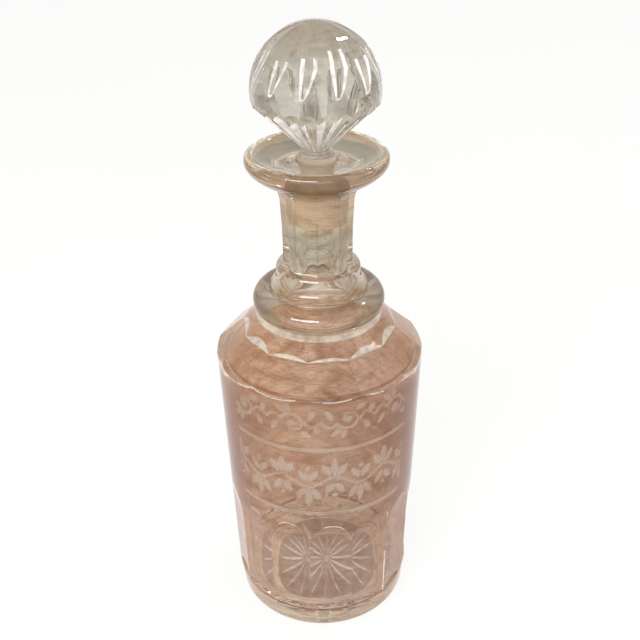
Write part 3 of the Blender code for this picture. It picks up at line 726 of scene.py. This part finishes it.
def make_stopper(finishes):
    """The ball, cone, stem, bead and ground peg in one solid."""
    columns = np.arange(STOPPER_COLUMNS)
    number = (columns + BALL_PART // 2) // BALL_PART
    part = (columns + BALL_PART // 2) % BALL_PART - BALL_PART // 2
    sector = number * math.tau / BALL_FLUTES
    even = columns * math.tau / STOPPER_COLUMNS
    ridge = np.abs(columns % CONE_PART - CONE_PART // 2) / (CONE_PART // 2)
    arch = halved(np.full(STOPPER_COLUMNS, CONE_TOP_Z), np.full(STOPPER_COLUMNS, CONE_TOP_Z + 6.0),
                  lambda height: cone_radius(height, ridge) < np.sqrt(BALL ** 2 - (height - BALL_CENTRE) ** 2))
    table, lines = [], []
    for latitude in np.concatenate([[90.0], np.linspace(89.0, 80.0, 6), np.linspace(79.0, FLUTE_TIP, 84)]):
        width = flute_width(latitude)
        ring = BALL * math.cos(math.radians(latitude))
        half_sector = math.pi / BALL_FLUTES
        edge = math.asin(min(0.9, max(width, 0.12) / max(ring, 0.1)))
        edge = min(edge, half_sector * 0.999)
        place = np.abs(part)
        off = np.sign(part) * (IN_FLUTE[place] * edge + PAST_FLUTE[place] * (half_sector - edge))
        share = np.clip(ring * np.abs(np.sin(off)) / max(width, 0.01), 0.0, 1.0)
        top_fade = min(1.0, (90 - latitude) / (90 - FADE_FROM)) * (1 - 0.5 * np.clip((latitude - 25) / 25, 0, 1))
        hollow = between(1 - share ** 2, 1 - np.sqrt(share ** 2 + 0.01) + 0.005, FLUTE_CREASE)
        sink = np.clip(hollow, 0.0, None) * width ** 2 * FLUTE_CURVE * top_fade
        reach = BALL - sink
        table.append((reach * math.cos(math.radians(latitude)), sector + off,
                      BALL_CENTRE + reach * math.sin(math.radians(latitude))))
        lines.append(painted_flute_highlights(part, number, latitude, width))
    last_angle = table[-1][1]
    waist = BALL_CENTRE + BALL * math.sin(math.radians(FLUTE_TIP))
    for i in range(1, 15):
        share = i / 14
        height = between(waist, arch, share)
        blend = min(1.0, share / 0.5)
        angle = last_angle + (np.angle(np.exp(1j * (even - last_angle)))) * blend
        table.append((np.sqrt(BALL ** 2 - (height - BALL_CENTRE) ** 2), angle, height))
        lines.append(np.zeros(STOPPER_COLUMNS))
    flute = (columns + 1) // CONE_PART
    along = columns % CONE_PART
    # Painted highlights: white strips down the cone's flutes and along their ridges
    painted_cone_highlights = (along <= 2) | (along >= CONE_PART - 1) | ((flute * 5 % 7 < 4) & (along < 7))
    for i in range(1, 25):
        height = between(arch, CONE_FOOT_Z, i / 24)
        table.append((cone_radius(height, ridge), even, height))
        lines.append(painted_cone_highlights * (1 + flute * 3 % 4 < i))
    for radius, height in peg_outline():
        table.append((np.full(STOPPER_COLUMNS, radius), even, np.full(STOPPER_COLUMNS, height)))

    shape = bmesh.new()
    highlight_layer = shape.verts.layers.float.new("painted_highlight")
    ball_turn = FRONT + math.radians(STOPPER_TURN)
    radius, angle, height = (np.array([column + np.zeros(STOPPER_COLUMNS) for column in part_of])
                             for part_of in zip(*table))
    grid = open_tube(shape, len(table), STOPPER_COLUMNS)
    place_grid(grid, around(radius), around(angle) + ball_turn, around(height))
    for row, values in zip(grid, around(np.array(lines, dtype=float))):
        for vert, value in zip(row, values):
            vert[highlight_layer] = value
    weld(shape)
    bmesh.ops.recalc_face_normals(shape, faces=shape.faces)
    for face in shape.faces:
        height = face.calc_center_median().z / MM
        if height < PEG_TOP:
            face.material_index = PEG
        elif height < BEAD_TOP:
            face.material_index = PAINTED_BEAD
        elif min(vert[highlight_layer] for vert in face.verts) > 0.5:
            face.material_index = PAINTED_HIGHLIGHT
    print("Open edges left in the stopper:", sum(len(edge.link_faces) != 2 for edge in shape.edges))
    piece = finish_piece("ball_stopper", shape, finishes, "stopper", 9)
    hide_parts("stopper")
    return piece


# %% [markdown]
# ## Glass
#
# Old soda glass isn't quite colourless, and this one takes a warm rose-tan
# in the body and a cooler grey-green in the thick neck and stopper. One even
# colour would be simpler, but a long way through glass looks deeper than a
# short one. So the tint is a colour ramp over the height, partly the glass's
# own colour and partly painted light and shade, and painted shade darkens it
# where a wall is seen edge on.

# %% Material helpers
IOR = 1.52
WHOLE_HEIGHT = 0.32
PATCHES = [(0.34, (1.20, 1.19, 1.20)), (0.50, (1.0, 1.0, 1.0)), (0.66, (0.76, 0.60, 0.48))]
PLAIN, BROWN = (1.0, 1.0, 1.0), (0.60, 0.42, 0.28)
CORDS = [(0.40, PLAIN), (0.425, BROWN), (0.45, PLAIN), (0.575, PLAIN), (0.60, BROWN), (0.625, PLAIN)]


def new_material(name):
    """A material, its node tree and its Principled shader."""
    material = bpy.data.materials.new(name)
    material.use_nodes = True
    return material, material.node_tree, material.node_tree.nodes["Principled BSDF"]


def fill(tree, node, inputs):
    """Set each input of a node to a value, or join it to another node's output."""
    for place, value in inputs.items():
        if isinstance(value, bpy.types.NodeSocket):
            tree.links.new(value, node.inputs[place])
        else:
            node.inputs[place].default_value = value
    return node


def add_node(tree, kind, inputs=None, **settings):
    """A new node with its settings and inputs."""
    node = tree.nodes.new("ShaderNode" + kind)
    for name, value in settings.items():
        setattr(node, name, value)
    return fill(tree, node, inputs or {})


def ramp(tree, value, stops):
    """The colour at a value on a ramp with stops of (place, colour)."""
    node = add_node(tree, "ValToRGB", {"Fac": value})
    elements = node.color_ramp.elements
    elements[0].position, elements[0].color = stops[0][0], (*stops[0][1], 1.0)
    elements[1].position, elements[1].color = stops[-1][0], (*stops[-1][1], 1.0)
    for place, colour in stops[1:-1]:
        elements.new(place).color = (*colour, 1.0)
    return node.outputs["Color"]


def maths(tree, operation, *values):
    """The result of one sum on numbers and other nodes' outputs."""
    return add_node(tree, "Math", dict(enumerate(values)), operation=operation).outputs[0]


def ranged(tree, value, start, end, low=0.0, high=1.0):
    """A value between start and end, moved to between low and high."""
    inputs = {"Value": value, "From Min": start, "From Max": end, "To Min": low, "To Max": high}
    return add_node(tree, "MapRange", inputs).outputs["Result"]


def mixed(tree, factor, first, second, blend="MIX"):
    """Two colours, mixed or multiplied by a factor."""
    inputs = {0: factor, 6: first, 7: second}
    return add_node(tree, "Mix", inputs, data_type="RGBA", blend_type=blend).outputs[2]


def noise(tree, scale, stretch=None, **more):
    """Noise in the piece's own space, pressed together along its axes by the stretch."""
    place = add_node(tree, "TexCoord").outputs["Object"]
    if stretch:
        place = add_node(tree, "Mapping", {"Vector": place, "Scale": stretch}).outputs["Vector"]
    return add_node(tree, "TexNoise", {"Vector": place, "Scale": scale, **more}).outputs["Fac"]


def own_place(tree, axis, space="Object"):
    """A point's own X, Y or Z."""
    place = add_node(tree, "TexCoord").outputs[space]
    return add_node(tree, "SeparateXYZ", {"Vector": place}).outputs[axis]


def height_tint(tree, stops):
    """A tint that changes with the height, given as a share of the whole height."""
    return ramp(tree, maths(tree, "MULTIPLY", own_place(tree, "Z"), 1 / WHOLE_HEIGHT), stops)


def glass(clearness=1.0):
    """The plain constants that make a shader glass."""
    return {"Metallic": 0.0, "Transmission Weight": clearness, "IOR": IOR}


def handled_glass_group():
    """Faint waves, specks and wipe marks that all the polished glass shares."""
    group = bpy.data.node_groups.new("handled_glass", "ShaderNodeTree")
    for name, side in (("Roughness", "INPUT"), ("Wear", "INPUT"), ("Roughness", "OUTPUT"), ("Height", "OUTPUT")):
        group.interface.new_socket(name, in_out=side, socket_type="NodeSocketFloat")
    start = group.nodes.new("NodeGroupInput").outputs
    end = group.nodes.new("NodeGroupOutput")
    worn = ranged(group, noise(group, 60.0, Detail=5.0), 0.55, 0.8)
    roughness = maths(group, "MULTIPLY_ADD", worn, start["Wear"], start["Roughness"])
    fill(group, end, {"Roughness": roughness, "Height": noise(group, 35.0, Detail=1.0)})
    return group


HANDLED = handled_glass_group()


def tinted_glass(name, stops, painted_edge_shade, roughness=0.012, wear=0.05, bump=0.00002, falloff=2.0,
                 patches=PATCHES, cords=False):
    """Polished glass with a tint by height, darkened by painted shade where the wall is seen edge on.

    The painted edge shade is one colour or stops by height. Cords are thin brown streaks in the glass.
    Gives the material, its tree and shader, and the outputs for its tint and roughness.
    """
    material, tree, shader = new_material(name)
    handled = add_node(tree, "Group", {"Roughness": roughness, "Wear": wear}, node_tree=HANDLED)
    relief = add_node(tree, "Bump", {"Strength": 1.0, "Distance": bump, "Height": handled.outputs["Height"]})
    facing = add_node(tree, "LayerWeight", {"Blend": 0.5}).outputs["Facing"]
    shade = ramp(tree, noise(tree, 42.0, (1.0, 1.0, 3.0), Detail=3.0, Distortion=1.5), patches)
    if cords:
        threads = noise(tree, 55.0, (1.0, 1.0, 11.0), Detail=2.0)
        shade = mixed(tree, 1.0, shade, ramp(tree, threads, CORDS), "MULTIPLY")
    edge = height_tint(tree, painted_edge_shade) if isinstance(painted_edge_shade, list) else (*painted_edge_shade, 1.0)
    # Painted shade: the tint darkens where the wall is seen edge on, standing in for a darker room mirrored at the
    # glass's edges
    shade = mixed(tree, maths(tree, "POWER", facing, falloff), shade, edge)
    tint = mixed(tree, 1.0, height_tint(tree, stops), shade, "MULTIPLY")
    smooth = handled.outputs["Roughness"]
    fill(tree, shader, {**glass(), "Base Color": tint, "Roughness": smooth, "Normal": relief.outputs["Normal"]})
    return material, tree, shader, tint, smooth


print("Shared glass group has", len(HANDLED.nodes), "nodes")

# %% [markdown]
# ## The body's glass
#
# The body's tint changes at each cut: pale in the heel, deeper in the plain
# wall, greenish in the thick neck; these changes are partly painted light and
# shade. Old glass was never mixed evenly either, so the tint drifts in patches
# and thin brown cords run round it. Painted light and shade also make the body
# lighter left of its middle and darker towards its right. The engraving was
# left matt, and the depth stored with the mesh says where.

# %% Clear body glass with its engraving
# Painted light and shade over the glass's own rose-tan: paler over the heel and low flutes, so that the star seen
# through them is bright, and lighter and darker bands up the shoulder and neck
BODY_STOPS = [
    (0.000, (0.66, 0.56, 0.46)),
    (0.012, (0.72, 0.64, 0.54)),
    (0.042, (0.74, 0.65, 0.54)),
    (0.050, (0.62, 0.48, 0.39)),
    (0.100, (0.68, 0.53, 0.43)),
    (0.180, (0.68, 0.52, 0.41)),
    (0.240, (0.44, 0.275, 0.18)),
    (0.290, (0.40, 0.235, 0.14)),
    (0.470, (0.435, 0.255, 0.155)),
    (0.500, (0.60, 0.41, 0.30)),
    (0.552, (0.65, 0.46, 0.355)),
    (0.600, (0.56, 0.46, 0.36)),
    (0.608, (0.60, 0.55, 0.48)),
    (0.640, (0.57, 0.53, 0.45)),
    (0.650, (0.42, 0.41, 0.32)),
    (0.700, (0.42, 0.41, 0.32)),
    (0.712, (0.70, 0.57, 0.42)),
    (0.760, (0.68, 0.55, 0.41)),
]
# Painted shade at the body's edges, by height: deep brown over the body and neck, milder over the shoulder
BODY_PAINTED_EDGE_SHADE = [
    (0.00, (0.60, 0.45, 0.32)),
    (0.05, (0.40, 0.12, 0.02)),
    (0.46, (0.36, 0.08, 0.01)),
    (0.48, (0.85, 0.72, 0.60)),
    (0.54, (0.80, 0.66, 0.54)),
    (0.60, (0.45, 0.33, 0.22)),
    (0.76, (0.40, 0.25, 0.14)),
]
# Painted light and shade across the body from left to right: lighter left of the middle, darker towards the right
SIDE_LIGHT_AND_SHADE = [
    (0.00, (0.95, 0.86, 0.72)),
    (0.12, (1.12, 1.10, 1.0)),
    (0.26, (1.18, 1.19, 1.12)),
    (0.55, (1.0, 1.0, 1.0)),
    (1.00, (0.84, 0.74, 0.62)),
]
MATT_TINT, MATT_ROUGHNESS = (0.70, 0.57, 0.49, 1.0), 0.55

clear_glass, tree, shader, tint, smooth = tinted_glass(
    "clear_body_glass", BODY_STOPS, BODY_PAINTED_EDGE_SHADE, falloff=0.9, cords=True)
# Painted light and shade from left to right, multiplied into the body's tint
sides = ramp(tree, ranged(tree, own_place(tree, "X"), -0.052, 0.052), SIDE_LIGHT_AND_SHADE)
side_lit_tint = mixed(tree, 1.0, tint, sides, "MULTIPLY")
marks = add_node(tree, "Attribute", attribute_name="engraved").outputs["Fac"]
fill(tree, shader, {"Base Color": mixed(tree, marks, side_lit_tint, MATT_TINT),
                    "Roughness": add_node(tree, "Mix", {0: marks, 2: smooth, 3: MATT_ROUGHNESS}).outputs[0]})
clear_glass.diffuse_color = (0.86, 0.74, 0.68, 0.4)
print("Body tint has", len(BODY_STOPS), "stops")

# %% The inside of the wall, the lip, the heel, the ring and the stopper
INNER_STOPS = [(0.0, (0.97, 0.96, 0.95)), (0.82, (0.98, 0.98, 0.96))]
DISH_STOPS = [(0.8053, (0.50, 0.47, 0.37)), (0.8066, (0.70, 0.71, 0.61)), (0.82, (0.70, 0.71, 0.61))]
# Painted shade: the dark brown of the lip's front band and of the lines beside the neck panels' edges
SHADE_BAND_STOPS = [(0.77, (0.34, 0.20, 0.11)), (0.80, (0.24, 0.13, 0.065)), (0.82, (0.30, 0.19, 0.11))]
# Painted shade: the lip's underside, near black
UNDER_SHADE_STOPS = [(0.76, (0.24, 0.19, 0.11)), (0.785, (0.11, 0.085, 0.045)), (0.80, (0.11, 0.085, 0.045))]
# Painted shade: the thin dark line round the heel's top
HEEL_SHADE_STOPS = [(0.0, (0.10, 0.035, 0.012)), (0.05, (0.10, 0.035, 0.012))]
# Painted shade: the underside round the star's rays, dark so that the rays stand out
UNDERSIDE_SHADE_STOPS = [(0.0, (0.25, 0.165, 0.12)), (0.02, (0.25, 0.165, 0.12))]
# Painted light and shade on the ring: a pale tint that darkens to olive towards its sides
RING_STOPS = [(0.55, (0.84, 0.76, 0.64)), (0.58, (0.77, 0.69, 0.57)), (0.61, (0.64, 0.55, 0.43))]
OLIVE_SIDE_SHADE = (0.32, 0.20, 0.07, 1.0)
# Painted light and shade over the stopper's grey-green: pale down the cone and bead, darker and browner towards the
# top of the ball
STOPPER_STOPS = [
    (0.80, (0.86, 0.82, 0.75)),
    (0.860, (0.84, 0.80, 0.73)),
    (0.89, (0.52, 0.50, 0.42)),
    (0.95, (0.40, 0.385, 0.31)),
    (1.00, (0.29, 0.20, 0.12)),
]
# Painted reflections: bright and brown patches over the ball, standing in for the room and table seen through it
BALL_PAINTED_PATCHES = [
    (0.36, (1.45, 1.42, 1.42)),
    (0.47, (1.0, 1.0, 1.0)),
    (0.58, (1.0, 0.98, 0.95)),
    (0.68, (0.66, 0.48, 0.34)),
]

inner_glass = tinted_glass("inner_wall_glass", INNER_STOPS, (0.9, 0.88, 0.86), 0.015, 0.06)[0]
dish_glass = tinted_glass("lip_dish_glass", DISH_STOPS, (0.6, 0.55, 0.42), wear=0.06)[0]
lip_shade_band_glass = tinted_glass("lip_shade_band_glass", SHADE_BAND_STOPS, (0.55, 0.42, 0.32), wear=0.04)[0]
lip_under_shade_glass = tinted_glass("lip_underside_shade_glass", UNDER_SHADE_STOPS, (0.30, 0.17, 0.10), wear=0.04)[0]
heel_shade_line_glass = tinted_glass("heel_shade_line_glass", HEEL_SHADE_STOPS, (0.7, 0.6, 0.5), 0.05, 0.1)[0]
underside_shade_glass = tinted_glass("underside_shade_glass", UNDERSIDE_SHADE_STOPS, (0.8, 0.7, 0.6), 0.03, 0.1)[0]
stopper_glass = tinted_glass("clear_stopper_glass", STOPPER_STOPS, (0.62, 0.55, 0.47), 0.01, 0.04, 0.00001,
                             patches=BALL_PAINTED_PATCHES)[0]

# Painted shade: the ring turns olive towards its sides, where light takes the longest way through it
ring_glass, tree, shader, tint, _ = tinted_glass("neck_ring_glass", RING_STOPS, (0.10, 0.05, 0.01), falloff=1.2)
side_shade_share = ranged(tree, maths(tree, "ABSOLUTE", own_place(tree, "X")), 0.019, 0.031)
fill(tree, shader, {"Base Color": mixed(tree, side_shade_share, tint, OLIVE_SIDE_SHADE, "MULTIPLY")})
print("Finishes so far:", [material.name for material in bpy.data.materials])

# %% [markdown]
# ## Painted bright cuts, frosted grooves and the ground joint
#
# The star's narrow grooves are hard to polish, so they keep the stone's grain
# and stay rough. The white, rose and pale green lines along the other cuts,
# the bead and the shoulder's steps are painted highlights. Mirrored lamps
# alone could draw such lines, but they would wander with the view. The peg
# and its seat were ground together with grit and water, which leaves them
# rough, with fine rings round the taper.

# %% Frosted and ground glass
def frost_and_painted_highlight(name, colour, clearness, roughness):
    """Frosted glass with a mottled colour and the fine grain of the stone; where it lets little light through, its
    pale colour is a painted highlight.
    """
    material, tree, shader = new_material(name)
    darker = tuple(c * k for c, k in zip(colour, (0.74, 0.66, 0.70)))
    mottle = ramp(tree, noise(tree, 240.0, Detail=3.0), [(0.40, darker), (0.54, colour)])
    grain = ranged(tree, noise(tree, 1800.0), 0.0, 1.0, roughness, roughness + 0.12)
    fill(tree, shader, {**glass(clearness), "Base Color": mottle, "Roughness": grain})
    return material


def ground_glass(name, colour, clearness):
    """Glass ground with grit and water: rough, with fine rings round the taper."""
    material, tree, shader = new_material(name)
    grit = noise(tree, 2500.0)
    place = add_node(tree, "TexCoord").outputs["Object"]
    rings = add_node(tree, "TexWave", {"Vector": place, "Scale": 260.0, "Distortion": 3.0}, bands_direction="Z")
    rough = maths(tree, "MULTIPLY_ADD", rings.outputs["Fac"], 0.4, grit)
    relief = add_node(tree, "Bump", {"Strength": 0.6, "Distance": 0.00003, "Height": rough})
    shades = ramp(tree, grit, [(0.35, tuple(c * 0.94 for c in colour)), (0.65, colour)])
    fill(tree, shader, {**glass(clearness), "Base Color": shades, "Normal": relief.outputs["Normal"],
                        "Roughness": ranged(tree, grit, 0.0, 1.0, 0.38, 0.55)})
    return material


# Painted highlights: white strips on the stopper's flutes and cone
painted_highlight_glass = frost_and_painted_highlight("painted_highlight_cut_glass", (1.0, 0.99, 0.98), 0.3, 0.3)
# Painted reflection in pale green on the shoulder's steps, under the ring and along the scallop line
painted_step_glass = frost_and_painted_highlight("painted_sheen_step_glass", (0.88, 0.95, 0.87), 0.82, 0.15)
# Painted highlight: the white bead under the stopper's cone
painted_bead_glass = frost_and_painted_highlight("painted_bead_glass", (1.0, 0.97, 0.93), 0.6, 0.12)
# Painted highlights on the flute ridges and arches, and painted light on the shoulder's sides
painted_rose_glass = frost_and_painted_highlight("painted_highlight_ridge_glass", (0.98, 0.86, 0.78), 0.72, 0.2)
star_glass = frost_and_painted_highlight("star_cut_glass", (1.0, 0.98, 0.96), 1.0, 0.5)
peg_glass = ground_glass("ground_peg_glass", (0.97, 0.85, 0.70), 0.45)
seat_glass = ground_glass("ground_seat_glass", (1.0, 0.92, 0.80), 0.1)

# %% Make both pieces
bottle = make_bottle((clear_glass, seat_glass, inner_glass, lip_shade_band_glass, painted_step_glass, star_glass,
                      lip_under_shade_glass, heel_shade_line_glass, ring_glass, underside_shade_glass, dish_glass, painted_rose_glass))
stopper = make_stopper((stopper_glass, peg_glass, painted_highlight_glass, painted_bead_glass))

# %% [markdown]
# ## The set
#
# A pale floor runs far back, so that the whole background is one tone. It
# looks white to the camera and through the glass, and keeps a soft share of
# the decanter's shadow. Four lamps stand round the decanter, and the camera
# sees none of them. A long window in front draws the thin bright lines along
# the lip, ring and shoulder; it lights the bottle and floor only, and isn't
# seen through glass, where it would look like a hot spot. A small lamp behind
# lights the cut edges, and two large soft ones fill from the right and low
# in front.

# %% Floor
FLOOR_SIZE, FLOOR_HEIGHT = 12.0, -0.0002


def seen_share(tree):
    """1 for rays from the camera, straight, mirrored or through glass, and 0 for other light."""
    path = add_node(tree, "LightPath").outputs
    first = maths(tree, "MAXIMUM", path["Is Camera Ray"], path["Is Glossy Ray"])
    return maths(tree, "MAXIMUM", first, path["Is Transmission Ray"])


def floor_material():
    """Pale paper that shows white to the camera and through glass."""
    material, tree, paper = new_material("pale_paper")
    fibres = add_node(tree, "TexNoise", {"Scale": 30.0}).outputs["Fac"]
    shades = ramp(tree, fibres, [(0.3, (0.80, 0.79, 0.78)), (0.7, (0.84, 0.83, 0.82))])
    fill(tree, paper, {"Roughness": 0.8, "Base Color": shades})
    white = add_node(tree, "Emission", {"Strength": 1.0}).outputs["Emission"]
    share = maths(tree, "MULTIPLY", seen_share(tree), 0.85)
    mix = add_node(tree, "MixShader", {0: share, 1: paper.outputs["BSDF"], 2: white})
    fill(tree, tree.nodes["Material Output"], {"Surface": mix.outputs["Shader"]})
    return material


def make_floor():
    """A wide flat sheet just under the decanter."""
    shape = bmesh.new()
    bmesh.ops.create_grid(shape, x_segments=1, y_segments=1, size=0.5 * FLOOR_SIZE)
    bmesh.ops.translate(shape, vec=(0.0, 0.0, FLOOR_HEIGHT), verts=shape.verts)
    item = object_from("floor", shape, [floor_material()])
    return item


floor = make_floor()
print("Floor size in metres:", tuple(round(side, 3) for side in floor.dimensions))


# %% World and lamps
def soft_world():
    """White to the camera, and a soft grey room for everything else."""
    world = bpy.data.worlds.new("studio_room")
    world.use_nodes = True
    tree = world.node_tree
    white = fill(tree, tree.nodes["Background"], {"Color": (1.0, 1.0, 1.0, 1.0), "Strength": 1.0})
    shades = ramp(tree, own_place(tree, "Z", "Generated"),
                  [(0.0, (0.50, 0.40, 0.32)), (0.30, (0.62, 0.54, 0.47)), (0.75, (0.86, 0.88, 0.85))])
    room = add_node(tree, "Background", {"Color": shades, "Strength": 1.0})
    mix = add_node(tree, "MixShader", {0: seen_share(tree), 1: room.outputs["Background"],
                                       2: white.outputs["Background"]})
    fill(tree, tree.nodes["World Output"], {"Surface": mix.outputs["Shader"]})
    bpy.context.scene.world = world


def area_lamp(name, direction, distance, size, energy):
    """A soft rectangular lamp that looks at the decanter from (azimuth, elevation) in degrees.

    Azimuth 0 is the front and grows towards the right of the picture.
    """
    azimuth, elevation = (math.radians(a) for a in direction)
    target = Vector((0.0, 0.0, 0.5 * WHOLE_HEIGHT))
    towards = Vector((math.sin(azimuth) * math.cos(elevation), -math.cos(azimuth) * math.cos(elevation),
                      math.sin(elevation)))
    data = bpy.data.lights.new(name, "AREA")
    data.shape = "RECTANGLE"
    data.size, data.size_y = size
    data.energy = energy
    lamp = bpy.data.objects.new(name, data)
    lamp.location = target + towards * distance
    lamp.rotation_euler = (-towards).to_track_quat("-Z", "Y").to_euler()
    lamp.visible_camera = False
    bpy.context.scene.collection.objects.link(lamp)
    return lamp


soft_world()

# Light in thick cut glass is thrown from wall to wall many times before it leaves
paths = bpy.context.scene.cycles
paths.glossy_bounces = 48
paths.transmission_bounces = 32
paths.max_bounces = 64

window_lights = bpy.data.collections.new("window_lights")
window_lights.objects.link(bottle)
window_lights.objects.link(floor)
window = area_lamp("long_window", (-26, 32), 1.6, (1.3, 0.44), 22.0)
window.light_linking.receiver_collection = window_lights
window.visible_transmission = False
area_lamp("back_lamp", (135, 48), 1.7, (0.10, 0.10), 2.8)
area_lamp("right_fill", (70, 35), 1.8, (1.6, 1.6), 6.0)
area_lamp("low_fill", (-8, 12), 1.6, (1.8, 1.2), 13.0)
print("Lamps:", [light.name for light in bpy.data.lights])

# %% [markdown]
# ## The camera
#
# The camera stands in front and above, where the photographer stood. Its
# place, tilt and lens were worked out from the circles of the lip, ring,
# shoulder and heel.

# %% Camera
CAMERA_PLACE, LENS, SENSOR = (0.0, -0.4075, 0.4114), 52.2, 36.0
pitch, yaw, roll = math.radians(30.573), math.radians(0.061), math.radians(-0.833)
right = Vector((math.cos(yaw), -math.sin(yaw), 0.0))
ahead = Vector((math.cos(pitch) * math.sin(yaw), math.cos(pitch) * math.cos(yaw), -math.sin(pitch)))
up = Vector((math.sin(pitch) * math.sin(yaw), math.sin(pitch) * math.cos(yaw), math.cos(pitch)))
rolled_right = math.cos(roll) * right + math.sin(roll) * up
rolled_up = -math.sin(roll) * right + math.cos(roll) * up
lens = bpy.data.cameras.new("portrait_camera")
lens.sensor_width = SENSOR
lens.lens = LENS
lens.clip_start = 0.01
camera = bpy.data.objects.new("portrait_camera", lens)
camera.matrix_world = Matrix.Translation(CAMERA_PLACE) @ Matrix(
    (rolled_right, rolled_up, -ahead)).transposed().to_4x4()
bpy.context.scene.collection.objects.link(camera)
bpy.context.scene.camera = camera
bpy.context.scene.view_settings.view_transform = "Standard"
print("Camera stands", round(Vector(CAMERA_PLACE).length, 3), "m from the decanter's foot")
